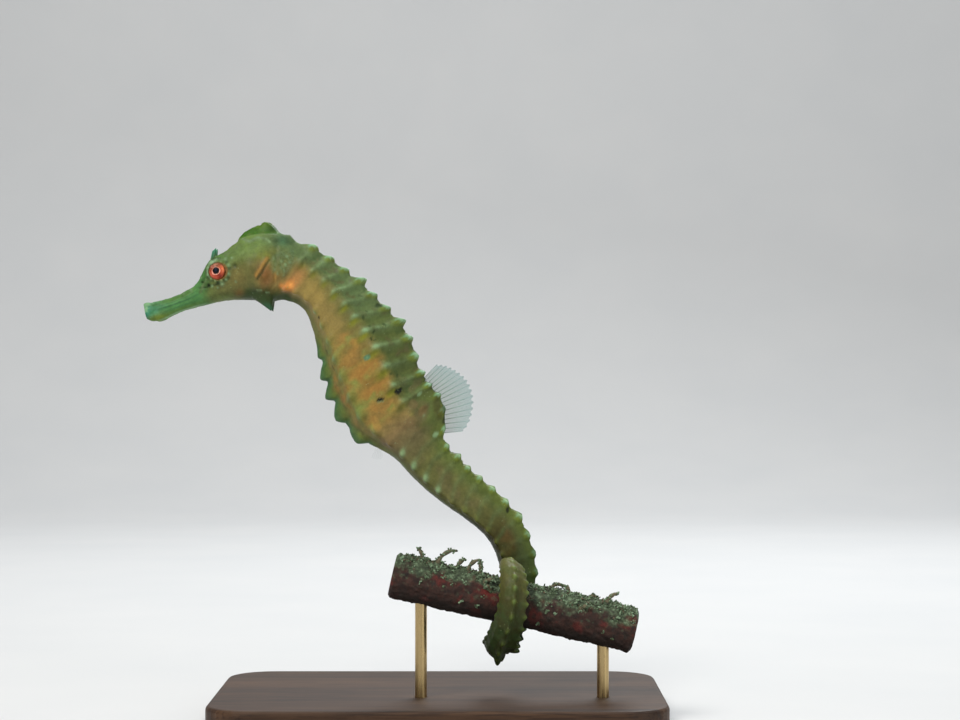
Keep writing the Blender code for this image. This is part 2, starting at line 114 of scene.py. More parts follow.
# The distance between rings at the tail's root.
TAIL_PITCH = 3.08
LONG_TRUNK_SPINES = (4, 7)
BACK_RIDGE = 0.55
# Spines of the keel, which don't keep step with the rings: place and height.
KEEL_SPINES = ((42.1, 0.1), (45.15, 0.3), (47.0, 0.6), (51.25, 1.2), (55.4, 1.4), (59.5, 1.4), (64.1, 1.2))
LONG_TAIL_SPINES = (5, 10, 15, 20)

EYE_PLACE = 16.2
EYE_ABOVE_SPINE = 1.75
EYE_OUT = 2.75
EYE_RADIUS = 1.9
# The part of the eye that shows, inside the rim.
EYE_OPENING = 1.62

DORSAL_FIN_BASE = (60.8, 71.8)
DORSAL_FIN_RAYS = 17
DORSAL_FIN_HEIGHT = 6.7

PERCH_ENDS = (-22.0, 24.0)

# The camera stands level in front of the animal, as far off as the photograph's perspective needs.
CAMERA_PLACE = (0.01462, -0.450, 0.06726)
CAMERA_LENS = 89.44

POINTS_ROUND = 132


# Numbers and curves


def smooth_through(places, values, at):
    """Reads a cubic Hermite curve through the values, which may be rows of numbers."""
    places = np.asarray(places, float)
    values = np.asarray(values, float).reshape(len(places), -1)
    at = np.atleast_1d(at)
    slopes = np.gradient(values, places, axis=0)
    i = np.clip(np.searchsorted(places, at) - 1, 0, len(places) - 2)
    span = (places[i + 1] - places[i])[:, None]
    t = np.clip((at - places[i])[:, None] / span, 0, 1)
    start = (1 + 2 * t) * (1 - t) ** 2 * values[i] + t * (1 - t) ** 2 * span * slopes[i]
    end = t**2 * (3 - 2 * t) * values[i + 1] + t**2 * (t - 1) * span * slopes[i + 1]
    return start + end


def unit(rows):
    return rows / np.linalg.norm(rows, axis=-1, keepdims=True)


def ease(low, high, x):
    """0 below low, 1 above high and smooth between; low may be the greater one."""
    t = np.clip((x - low) / (high - low), 0, 1)
    return t * t * (3 - 2 * t)


def bump(distance, width):
    return np.exp(-((distance / width) ** 2))


def blunt_cone(distance, tip):
    """1 at distance 0 and 0 from distance 1 on, with its tip rounded off over the given distance."""
    base = math.hypot(1, tip)
    return np.clip((base - np.hypot(distance, tip)) / (base - tip), 0, 1)


def to_polyline(u, v, route):
    """Distance from each (u, v) to a line through a few points."""
    nearest = np.full(np.broadcast(u, v).shape, 1e3)
    for (u0, v0), (u1, v1) in zip(route, route[1:]):
        du, dv = u1 - u0, v1 - v0
        t = np.clip(((u - u0) * du + (v - v0) * dv) / (du * du + dv * dv), 0, 1)
        nearest = np.minimum(nearest, np.hypot(u - u0 - t * du, v - v0 - t * dv))
    return nearest


def cloudy(points, size, octaves=3, shift=0.0):
    """Smooth noise of about -1 to 1 at each point, with blobs of about the given size in millimetres."""
    rows = (np.asarray(points).reshape(-1, 3) / size + shift).tolist()
    values = [noise.fractal(row, 1.0, 2.0, octaves) for row in rows]
    return np.array(values).reshape(np.shape(points)[:-1])


class Spine:
    """The line through the body and its frame, as in the CAD. back and side point out of the animal."""

    step = 0.1

    def __init__(self):
        in_plane, plane_backs = self.plane_part()
        in_coil, coil_backs = self.coil_part(in_plane[-1])
        centres = np.concatenate([in_plane, in_coil[1:]])
        backs = np.concatenate([plane_backs, coil_backs[1:]])
        along = np.concatenate([[0], np.cumsum(np.linalg.norm(np.diff(centres, axis=0), axis=1))])
        self.at = np.arange(0, along[-1], self.step)
        self.centres = self.softened(self.resampled(along, centres))
        forward = unit(np.gradient(self.centres, axis=0))
        backs = self.resampled(along, backs)
        self.backs = unit(backs - forward * (backs * forward).sum(1, keepdims=True))
        self.forwards = forward

    def plane_part(self):
        at = np.arange(0, COIL_START + self.step / 2, self.step)
        heading = np.radians(smooth_through([row[1] for row in BODY], [row[2] for row in BODY], at)[:, 0])
        zero = np.zeros_like(heading)
        forward = np.stack([np.cos(heading), zero, np.sin(heading)], 1)
        middles = (forward[1:] + forward[:-1]) / 2
        start = np.array([[LIPS[0], 0, LIPS[1]]])
        centres = np.concatenate([start, start + np.cumsum(middles, axis=0) * self.step])
        return centres, np.stack([-np.sin(heading), zero, np.cos(heading)], 1)

    def coil_part(self, start):
        slope = math.radians(BRANCH_SLOPE)
        self.axis = np.array([math.cos(slope), 0, math.sin(slope)])
        self.up = np.array([-math.sin(slope), 0, math.cos(slope)])
        away = np.array([0, 1, 0])
        degrees = np.arange(0, COIL[-1][0] + 0.25, 0.5)
        radius, turn, sway = smooth_through([row[0] for row in COIL], [row[1:] for row in COIL], degrees).T
        angle, turn = np.radians(degrees), np.radians(turn)
        outward = np.cos(angle)[:, None] * away - np.sin(angle)[:, None] * self.up
        self.hub = start - sway[0] * self.axis - radius[0] * away
        centres = self.hub + sway[:, None] * self.axis + radius[:, None] * outward
        return centres, np.cos(turn)[:, None] * self.axis + np.sin(turn)[:, None] * outward

    def resampled(self, along, rows):
        return np.stack([np.interp(self.at, along, column) for column in rows.T], 1)

    def softened(self, rows, reach=15):
        """Averages along the line, so that the coil starts without a kink. The ends stay put."""
        before = 2 * rows[0] - rows[reach:0:-1]
        after = 2 * rows[-1] - rows[-2 : -reach - 2 : -1]
        padded = np.concatenate([before, rows, after])
        window = np.hanning(2 * reach + 3)[1:-1]
        return np.stack([np.convolve(column, window / window.sum(), "valid") for column in padded.T], 1)

    def frames(self, place):
        """Centre, forward, back and left-side vectors at places along the spine, one row for each."""
        rows = [
            np.stack([np.interp(place, self.at, column) for column in table.T], -1)
            for table in (self.centres, self.forwards, self.backs)
        ]
        centre, forward, back = rows[0], unit(rows[1]), unit(rows[2])
        return centre, forward, back, np.cross(forward, back)

    def point(self, place, above, left):
        centre, _, back, side = self.frames(place)
        return centre + above * back + left * side


def body_sizes(places):
    """Depth of the back and of the belly, half width, and half sections, at places along the spine."""
    rows = [(*row[3:6], *np.ravel(row[6])) for row in BODY]
    values = smooth_through([row[1] for row in BODY], rows, places)
    return values[:, 0], values[:, 1], values[:, 2], values[:, 3:].reshape(len(values), -1, 2)


def trunk_ring(number):
    steps = number - 1
    return 31.3 + 2.65 * steps + 0.048 * steps**2


def tail_ring(number):
    return 62.6 + TAIL_PITCH * number - 0.037 * max(0, number - 10) ** 2


def ring_table():
    """Place, and height of the superior, lateral and inferior spines, of every ring in order."""
    rows = [(COLLAR, 0.5, 0.0, 0.0)]
    for number in range(1, TRUNK_RINGS + 1):
        superior = 1.85 if number in LONG_TRUNK_SPINES else 0.9 if number in (2, 3) else 1.1
        if number == TRUNK_RINGS:
            superior = 0.5
        rows.append((trunk_ring(number), superior, 0.5, 0.4))
    for number in range(1, TAIL_RINGS + 1):
        size = (tail_ring(number + 1) - tail_ring(number)) / TAIL_PITCH
        low = number < 4 or number > 28
        superior = 1.4 if number in LONG_TAIL_SPINES else 0.5 if low else 0.95
        rows.append((tail_ring(number), size * superior, 0, 0.4 * size))
    return np.array(rows)


SPINE = Spine()
RINGS = ring_table()


# Painting: each painter lays its colour over what is there, by a mask of 0 to 1.

PALETTE = {
    "teal": (0.030, 0.200, 0.130),
    "leaf": (0.062, 0.165, 0.042),
    "moss": (0.135, 0.215, 0.045),
    "sage": (0.125, 0.185, 0.070),
    "olive": (0.110, 0.145, 0.038),
    "slate": (0.096, 0.120, 0.030),
    "deep": (0.026, 0.048, 0.014),
    "tan": (0.270, 0.200, 0.060),
    "orange": (0.350, 0.182, 0.043),
    "rust": (0.190, 0.090, 0.022),
    "glow": (0.900, 0.310, 0.070),
    "lime": (0.160, 0.205, 0.022),
    "mint": (0.230, 0.360, 0.180),
    "aqua": (0.110, 0.330, 0.190),
    "fir": (0.036, 0.118, 0.060),
    "fern": (0.048, 0.140, 0.010),
    "jade": (0.074, 0.205, 0.060),
    "straw": (0.225, 0.215, 0.055),
    "peach": (0.340, 0.245, 0.068),
    "lemon": (0.270, 0.260, 0.018),
    "gold": (0.420, 0.240, 0.060),
    "brick": (0.250, 0.125, 0.045),
    "salmon": (0.520, 0.225, 0.085),
    "blush": (0.850, 0.400, 0.220),
    "blaze": (1.000, 0.480, 0.120),
    "khaki": (0.130, 0.132, 0.040),
    "umber": (0.066, 0.058, 0.016),
    "soot": (0.010, 0.012, 0.007),
    "dusk": (0.135, 0.115, 0.048),
    "bog": (0.040, 0.066, 0.018),
    "frost": (0.320, 0.500, 0.300),
    "clay": (0.215, 0.150, 0.062),
    "eye red": (0.55, 0.095, 0.040),
    "eye wine": (0.27, 0.020, 0.007),
    "eye salmon": (0.52, 0.095, 0.050),
    "eye orange": (0.82, 0.215, 0.085),
    "eye pink": (0.98, 0.40, 0.29),
    "eye tan": (0.30, 0.12, 0.062),
    "eye bark": (0.16, 0.065, 0.028),
    "eye black": (0.003, 0.002, 0.004),
    # A painted highlight for the pupil's glint.
    "eye painted glint": (0.012, 0.030, 0.065),
}

# Colours of the back, the flank and the belly at landmarks, in order along the body.
COAT = (
    ("lips", "teal", "teal", "fern"),
    ("snout waist", "jade", "jade", "leaf"),
    ("snout root", "jade", "jade", "leaf"),
    ("nostrils", "leaf", "olive", "olive"),
    ("eyes", "leaf", "khaki", "olive"),
    # Under the head the belly column is painted dark: painted shade.
    ("cheeks", "moss", "khaki", "bog"),
    ("gill cover", "moss", "khaki", "deep"),
    ("nape", "sage", "tan", "deep"),
    ("neck", "sage", "tan", "bog"),
    ("shoulders", "sage", "tan", "khaki"),
    ("chest", "sage", "tan", "khaki"),
    ("breast", "olive", "tan", "olive"),
    ("belly", "slate", "orange", "olive"),
    ("lower belly", "slate", "orange", "olive"),
    ("fin hump", "slate", "tan", "khaki"),
    ("vent", "olive", "clay", "khaki"),
    ("tail root", "slate", "dusk", "slate"),
    ("second tail ring", "olive", "khaki", "slate"),
    ("upper tail", "olive", "khaki", "slate"),
    ("middle tail", "olive", "khaki", "deep"),
    ("lower tail", "olive", "umber", "deep"),
    ("above the branch", "olive", "umber", "deep"),
    # Behind and under the branch the coil is painted dark: painted shade.
    ("behind the branch", "deep", "deep", "deep"),
    ("under the branch", "soot", "deep", "soot"),
    ("in front of the branch", "umber", "umber", "deep"),
    ("over the branch", "khaki", "khaki", "umber"),
    ("tail tip", "olive", "olive", "olive"),
)


def lay(paint, colour, mask):
    """Lays a colour, by its name or its numbers, over a painted surface."""
    mask = np.clip(mask, 0, 1)[..., None]
    paint[...] = paint * (1 - mask) + np.array(PALETTE.get(colour, colour)) * mask


def shade(paint, amount):
    """Darkens (below 0) or lightens a painted surface by a share."""
    return paint * (1 + amount)[..., None]


# The skin


# How far along the body a ring's line is carried at the lateral and the inferior ridge: place, distance.
LATERAL_SLANT = (
    (28, -0.5), (31, -0.8), (37, -1.4), (45, -1.8), (49, -1.8), (53, -1.25), (57, -0.6), (60, -0.3),
    (66, 0),
)
INFERIOR_SLANT = (
    (30, -1.2), (38, -1.0), (45, -0.65), (49, -0.1), (53, 0.4), (57, 1.3), (66, 1.7), (80, 1.5),
    (140, 0.9),
)


class Skin:
    """The skin's grid: arrays have a row for each place and a column for each point round the body."""

    # How far apart rows are: place, distance.
    spacing = (
        (0, 0.17), (10, 0.17), (12, 0.125), (13.8, 0.125), (14.2, 0.09), (18.4, 0.09), (18.8, 0.13),
        (29, 0.17), (36, 0.23), (100, 0.235), (150, 0.26),
    )
    # The mouth's rows, from inside it out over the lips: place, and share of the section's size.
    mouth = (
        (0.95, 0.30), (0.6, 0.42), (0.35, 0.50), (0.16, 0.58), (0.04, 0.68), (0.0, 0.80), (0.03, 0.90),
        (0.12, 0.97),
    )

    def __init__(self):
        stations = [*self.mouth, *self.body_stations()]
        self.place, self.scale = (np.array(column)[:, None] for column in zip(*stations))
        self.inside_mouth = np.arange(len(stations))[:, None] < 5
        # Columns start at the keel, so that the seam of the UV map lies under the belly.
        self.round = (KEEL + ALL_ROUND * np.arange(POINTS_ROUND) / POINTS_ROUND)[None] % ALL_ROUND
        self.half = np.minimum(self.round, ALL_ROUND - self.round)
        self.left = np.where(self.round <= KEEL, 1.0, -1.0)
        self.place = np.broadcast_to(self.place, (len(stations), POINTS_ROUND))
        self.across, self.above = self.sections()
        self.find_rings()

    def body_stations(self):
        at, stations = 0.3, []
        while at < TAIL_END:
            rounding = math.sqrt(max(0, 1 - max(0, (at - 149.0) / (TAIL_END - 148.99)) ** 2))
            stations.append((at, rounding))
            at += np.interp(at, *zip(*self.spacing))
        return stations

    def sections(self):
        """The outline before any relief: a curve through each section's points, tauter on the trunk."""
        place = self.place[:, 0]
        deep_back, deep_belly, half_width, half = body_sizes(place)
        depth = np.where(half[..., 1] > 0, deep_back[:, None], deep_belly[:, None])
        half = np.stack([half[..., 0] * half_width[:, None], half[..., 1] * depth], -1)
        mirrored = half[:, -2:0:-1] * (-1, 1)
        ring = np.concatenate([half, mirrored], 1)
        i = np.floor(self.round[0]).astype(int)
        t = (self.round[0] - i)[None, :, None]
        a, b, c, d = (ring[:, (i + k) % ALL_ROUND] for k in (-1, 0, 1, 2))
        square, cube = 2 * a - 5 * b + 4 * c - d, 3 * b - 3 * c + d - a
        curve = 0.5 * (2 * b + (c - a) * t + square * t**2 + cube * t**3)
        chord = b * (1 - t) + c * t
        taut = np.interp(place, (26, 33, 150), (0, 0.45, 0.35))[:, None, None]
        outline = (curve * (1 - taut) + chord * taut) * self.scale[:, :, None]
        return outline[..., 0], outline[..., 1]

    def find_rings(self):
        """Which ring each point is nearest to, and how far off it is in shares of the pitch."""
        # A ring runs towards the head from the back to the lateral ridge, and back again down the flank.
        lateral = np.interp(self.place, *zip(*LATERAL_SLANT))
        inferior = np.interp(self.place, *zip(*INFERIOR_SLANT))
        down_flank = lateral + (inferior - lateral) * (self.half - 3) / 2
        slant = np.where(self.half < 3, lateral * np.clip((self.half - 1) / 2, 0, 1), down_flank)
        number = np.interp(self.place - slant, RINGS[:, 0], np.arange(len(RINGS)))
        self.ring = np.rint(number).astype(int)
        self.off = number - self.ring
        # Before the first ring there is none.
        self.ringed = ease(28.6, 31.0, self.place) * ease(149.6, 146.0, self.place)
        self.pitch = np.gradient(RINGS[:, 0])[self.ring]
        self.size = np.minimum(self.pitch / TAIL_PITCH, 1.05)

    def spike(self, ridge, ahead, behind, around):
        """0 to 1, rising to the nearest ring's spine on that ridge. Reaches are in shares of the pitch."""
        along = np.where(self.off < 0, ahead, behind)
        distance = np.sqrt((self.off / along) ** 2 + ((self.half - ridge) / around) ** 2)
        return blunt_cone(distance, 0.22)

    def keel_spikes(self):
        """Height of the keel's spines at each point, and the share of it that is reached there."""
        height, share = np.zeros(self.half.shape), np.zeros(self.half.shape)
        for place, tall in KEEL_SPINES:
            along = np.where(self.place < place, 2.7, 1.0)
            distance = np.sqrt(((self.place - place) / along) ** 2 + ((self.half - KEEL) / 0.95) ** 2)
            near = blunt_cone(distance, 0.28)
            height, share = np.maximum(height, tall * near), np.maximum(share, near)
        return height, share

    def flank(self):
        """0 near the middle of the back and belly, and 1 on the flanks."""
        return ease(0.6, 1.8, np.abs(self.across))

    def oval(self, place, above, half_length, half_height, extra=0):
        """1 to 0 outwards from the middle of an oval on the side of the body."""
        distance = np.hypot((self.place - place) / half_length, (self.above - above) / half_height)
        return bump(distance + extra, 1.0)

    def raise_by(self, height):
        """Moves points out from the spine by a height, in the plane of their section."""
        length = np.hypot(self.across, self.above) + 1e-9
        grow = 1 + height / length
        self.across, self.above = self.across * grow, self.above * grow

    def points(self):
        centre, forward, back, side = SPINE.frames(self.place[:, 0])
        return (
            centre[:, None]
            + self.across[..., None] * side[:, None]
            + self.above[..., None] * back[:, None]
        )


def ring_relief(skin):
    """Rings with ridges between their spines, sunken panels between the rings, and the spines themselves."""
    half, off, size = skin.half, skin.off, skin.size
    trunk = ease(68, 60, skin.place)
    places_round = 0, 1, 1.5, 2, 3, 3.6, 4.6, 5, 6, 7
    strength = np.interp(half, places_round, (0.16, 0.17, 0.24, 0.27, 0.26, 0.06, 0.05, 0.12, 0.06, 0.03))
    crest = np.exp(-np.abs(off / 0.19) ** 1.6)
    height = skin.ringed * size * (strength * (0.45 + 0.55 * trunk)) * (crest - 0.3)
    between = np.cos(np.pi * half / 2) ** 2 * np.interp(half, (0, 3, 4, 7), (1, 1, 0.4, 0.2))
    height = height - skin.ringed * size * (0.21 * trunk + 0.1) * between * (1 - crest)
    # The flank of the trunk is drawn in between its inferior bumps.
    belly = ease(40, 46, skin.place) * ease(66, 62, skin.place)
    height = height - 0.16 * belly * bump(half - 5.6, 0.5) * ease(0.1, 0.4, np.abs(off))
    skin.raise_by(height)
    heights = RINGS[skin.ring]
    # A low ridge joins the feet of the superior spines.
    ridge = BACK_RIDGE * np.clip(heights[..., 1] - 0.4, 0, 1) * skin.ringed * bump(half - SUPERIOR, 0.42)
    skin.raise_by(ridge)
    for column, line_of, ahead, behind, around in (
        (1, SUPERIOR, 0.42, 0.26, 0.62),
        (2, LATERAL, 0.32, 0.32, 0.55),
        (3, INFERIOR, 0.32, 0.32, 0.5),
    ):
        tall = heights[..., column] - (ridge if column == 1 else 0)
        skin.raise_by(tall * skin.spike(line_of, ahead, behind, around) * 0.97)
    skin.raise_by(skin.keel_spikes()[0])


# Lines on the left side of the head and its mirror image, as places along and above the spine.
FOLD_UNDER_EYE = ((11.6, 1.1), (13.0, 0.35), (14.6, -0.25), (16.2, -0.75), (17.6, -0.45))
GILL_STREAK = ((25.3, 1.2), (24.2, -0.45), (22.9, -1.85))
FOLD_BEFORE_GILL = ((25.7, 0.9), (24.9, -0.4), (24.3, -1.4), (23.0, -2.5))
GILL_EDGE = ((26.5, 3.4), (26.9, 1.0), (26.9, -1.2), (27.2, -3.4), (26.0, -4.9))
BROW = ((13.4, 2.7), (14.8, 3.9), (17.2, 4.3), (20.6, 4.9))
NASAL_RIDGE = ((13.6, 1.6), (13.1, 1.35), (12.2, 0.85), (11.4, 0.3))
NOSTRILS = ((12.75, 1.75), (13.5, 0.5))
# Small pale knobs and dark pits round the eye and on the snout: place, above the spine, radius.
KNOBS = (
    (15.8, -0.75, 0.42), (13.9, -0.05, 0.26), (17.85, 0.25, 0.34), (16.9, -0.45, 0.26),
    (18.55, 1.75, 0.36), (18.4, 3.2, 0.30), (19.4, 2.8, 0.24), (16.9, 3.75, 0.30), (15.9, 4.0, 0.36),
    (8.2, 1.5, 0.26),
    (9.8, 1.5, 0.30), (12.3, 0.95, 0.24), (18.4, -1.6, 0.22), (14.7, -0.9, 0.2), (13.0, 2.6, 0.24),
)
PITS = (
    (15.2, -0.3, 0.42), (17.5, -0.1, 0.26), (16.5, -0.25, 0.24), (18.5, 1.1, 0.30), (19.5, 1.2, 0.42),
    (18.4, 2.5, 0.36), (12.9, 1.5, 0.34), (13.5, 0.45, 0.40), (17.9, 0.75, 0.22), (16.4, 4.3, 0.26),
)
# The granules at the root of the pectoral fin.
GRANULES = (
    (27.7, 0.95), (28.0, -0.2), (26.8, -0.85), (28.7, -0.65), (27.0, 2.05), (27.5, 2.5), (28.6, 0.5),
    (26.9, 0.2), (29.2, 1.3), (27.5, -1.5), (28.4, 2.1), (26.5, 1.2), (28.9, -1.5),
)


def line(skin, route):
    """Distance from each point of the skin to a line on the side of the head."""
    return to_polyline(skin.place, skin.above, route)


def spots(skin, rows, spread=1.0):
    """0 to 1, near small round spots on the side of the head. A row may end with the spot's radius."""
    found = np.zeros(skin.place.shape)
    for place, above, *radius in rows:
        distance = np.hypot(skin.place - place, skin.above - above)
        found = np.maximum(found, bump(distance, (radius[0] if radius else 0.27) * spread))
    return found


def head_relief(skin):
    """Cheek, gill cover, folds, brow, nostrils, crown and nape plate."""
    u, above, across, flank = skin.place, skin.above, np.abs(skin.across), skin.flank()
    cover = np.hypot((u - 23.9) / 3.6, (above + 1.2) / 4.4)
    height = 0.30 * ease(1.15, 0.6, cover) * flank
    height = height + 0.20 * bump(line(skin, GILL_STREAK), 0.42) * flank
    height = height - 0.24 * bump(line(skin, FOLD_BEFORE_GILL), 0.22) * flank
    height = height - 0.16 * bump(line(skin, GILL_EDGE), 0.3) * flank
    height = height - 0.20 * bump(line(skin, FOLD_UNDER_EYE), 0.22) * flank
    height = height + 0.14 * bump(line(skin, BROW), 0.45) * bump(across - 1.7, 0.9)
    height = height + 0.16 * bump(line(skin, NASAL_RIDGE), 0.24) * flank
    height = height - 0.34 * spots(skin, [(*spot, 0.26) for spot in NOSTRILS]) * flank
    height = height + 0.15 * spots(skin, KNOBS, 0.8) - 0.12 * spots(skin, PITS, 0.9)
    pectoral_base = np.hypot((u - 27.8) / 1.5, (above - 0.4) / 2.2)
    height = height + 0.22 * ease(1.3, 0.6, pectoral_base) * flank + 0.12 * spots(skin, GRANULES) * flank
    # Lengthwise ridges on the snout, and swollen lips.
    snout = ease(11.5, 9.5, u) * ease(1.0, 2.5, u)
    height = height + 0.05 * snout * np.cos(4.4 * skin.half + 0.5) * flank
    height = height + 0.12 * bump(u - 0.75, 0.5) - 0.08 * bump(u - 1.7, 0.3)
    skin.raise_by(height)
    steps = (20.4, 20.9, 21.4, 22.1, 23.0, 23.9, 24.7, 25.1, 25.5, 25.8, 26.1, 26.4, 26.8)
    crown = np.interp(u, steps, (0, 0.15, 0.75, 1.05, 1.25, 1.6, 2.08, 2.05, 1.9, 1.5, 1.1, 0.5, 0))
    rim = 1 + 0.10 * np.cos(5 * np.arctan2(skin.across * 2.2, u - 24.4))
    nape = np.interp(u, (26.2, 26.8, 27.2, 27.9, 28.2, 28.7), (0, 0.35, 0.25, 0.5, 0.15, 0))
    lift = crown * rim * ease(1.75, 0.55, across) + nape * ease(2.6, 1.0, across)
    flatter = 0.38 * bump(u - 18.9, 1.5) * ease(2.4, 1.2, across)
    skin.above = skin.above + np.where(above > 0, lift - flatter, 0)


def eye_centre(side):
    return SPINE.point(EYE_PLACE, EYE_ABOVE_SPINE, side * EYE_OUT)


def from_eye(points):
    """Distance of each point from the axis of the eyes, which runs square to the flanks."""
    centre = eye_centre(1)
    return np.hypot(points[..., 0] - centre[0], points[..., 2] - centre[2])


def orbit_relief(points):
    """Lifts the skin to a knobbly rim round each eye and sinks it under the eyeball."""
    distance = from_eye(points)
    out = np.abs(points[..., 1])
    facing = ease(0.7, 1.7, out)
    centre = eye_centre(1)
    angle = np.arctan2(points[..., 2] - centre[2], points[..., 0] - centre[0])
    knobs = np.clip(np.cos(11 * angle + 0.8 * np.sin(3 * angle)), -0.2, 1)
    bulge = (0.40 + 0.07 * knobs) * ease(3.4, 2.05, distance) * facing
    # The lid comes down a little over the top of the eye.
    opening = EYE_OPENING - 0.24 * np.clip(np.sin(angle), 0, 1) - 0.05 * np.clip(-np.sin(angle), 0, 1)
    pinch = ease(opening, opening - 0.14, distance)
    rim_out = EYE_OUT + 0.80 + 0.12 * knobs - 1.3 * (distance - 1.80) ** 2
    lifted = out + bulge
    lifted = np.where((distance < 2.4) & (facing > 0.3), np.maximum(lifted, rim_out), lifted)
    sunk = lifted * (1 - pinch) + 1.6 * pinch
    result = points.copy()
    result[..., 1] = np.sign(points[..., 1]) * np.where(facing > 0.3, sunk, lifted)
    return result


def thorn_relief(points, foot, tip, width, length, blunt, side):
    """Draws the skin out to a thorn: foot is near the skin, width and length are its foot's half sizes."""
    foot = SPINE.point(foot[0], foot[1], side * foot[2])
    tip = SPINE.point(tip[0], tip[1], side * tip[2])
    # The foot moves onto the skin, where it is nearest.
    foot = points.reshape(-1, 3)[np.argmin(((points - foot) ** 2).sum(-1))]
    run = unit((tip - foot) * (1, 0, 1))
    offset = points - foot
    along = offset @ run
    square = np.linalg.norm(offset - along[..., None] * run, axis=-1)
    reach = (along / length) ** 2 + (square / width) ** 2
    share = ease(1.0, 0.42, reach) if blunt else np.clip(1 - np.sqrt(reach), 0, 1) ** 1.15
    return points + share[..., None] * (tip - foot), share


def skin_paint(skin, points):
    """The colour of each point of the skin, from where it lies on the body and from smooth noise."""
    u, half = skin.place, skin.half
    clouds = cloudy(points, 5.0, 3, 11.0), cloudy(points, 1.6, 3, 37.0), cloudy(points, 0.6, 2, 71.0)
    blotch, mottle, fine = clouds
    paint = coat_paint(u, half, blotch, mottle)
    ring_paint(paint, skin, blotch, mottle)
    keel_paint(paint, skin, mottle)
    tail_paint(paint, skin, blotch, mottle)
    head_paint(paint, skin, points, blotch, mottle, fine)
    for place, spot, long, wide, turn, colour, strength in MARKS:
        turn = math.radians(turn)
        du, dv = u - place, (half - spot) * FLANK_STEP
        along = du * math.cos(turn) + dv * math.sin(turn)
        over = dv * math.cos(turn) - du * math.sin(turn)
        near = np.hypot(along / long, over / wide) + 0.06 * fine
        lay(paint, colour, ease(1.25, 0.75, near) * strength * (skin.left > 0))
    calm = 1 - 0.55 * ease(28, 31, u) * ease(50, 44, u) * bump(half - 4.2, 1.8)
    return shade(paint, (0.24 * mottle + 0.13 * fine) * calm + 0.10 * blotch)


def coat_paint(u, half, blotch, mottle):
    """The back, flank and belly colours of the coat, with cloudy edges."""
    places = [PLACES[row[0]] for row in COAT]
    wobbled = np.clip(u + 1.2 * blotch, 0, 150)
    bands = []
    for column in (1, 2, 3):
        rows = np.array([PALETTE[row[column]] for row in COAT])
        bands.append(np.stack([np.interp(wobbled, places, channel) for channel in rows.T], -1))
    at = half + 0.30 * blotch + 0.25 * mottle
    line = np.interp(u, (0, 12, 16, 20, 30, 34, 62, 70, 150), (3.5, 3.2, 2.6, 2.7, 2.8, 2.9, 3.0, 2.2, 2.0))
    width = np.interp(u, (0, 24, 32, 66, 76, 150), (1.6, 0.9, 0.6, 0.6, 1.0, 1.0))
    to_flank = ease(line - width, line + width, at)[..., None]
    edge = np.interp(u, (0, 20, 30, 44, 150), (5.2, 5.2, 5.5, 5.9, 5.6))
    soft = np.interp(u, (0, 24, 28, 44, 50, 150), (0.4, 0.4, 0.8, 0.8, 0.4, 0.4))
    to_belly = ease(edge - soft, edge + soft + 0.1, at)[..., None]
    paint = bands[0] * (1 - to_flank) + bands[1] * to_flank
    return paint * (1 - to_belly) + bands[2] * to_belly


# How pale the line and the lateral tubercle of each ring of the trunk are, from the collar on.
TUBERCLE_STRENGTHS = (0.2, 0.35, 0.55, 0.7, 0.9, 0.6, 0.9, 1.0, 0.85, 0.5, 0.4, 0.2)
RIB_STRENGTHS = (0.2, 0.35, 0.5, 0.4, 0.85, 0.4, 0.5, 1.0, 0.5, 0.4, 0.5, 0.3)


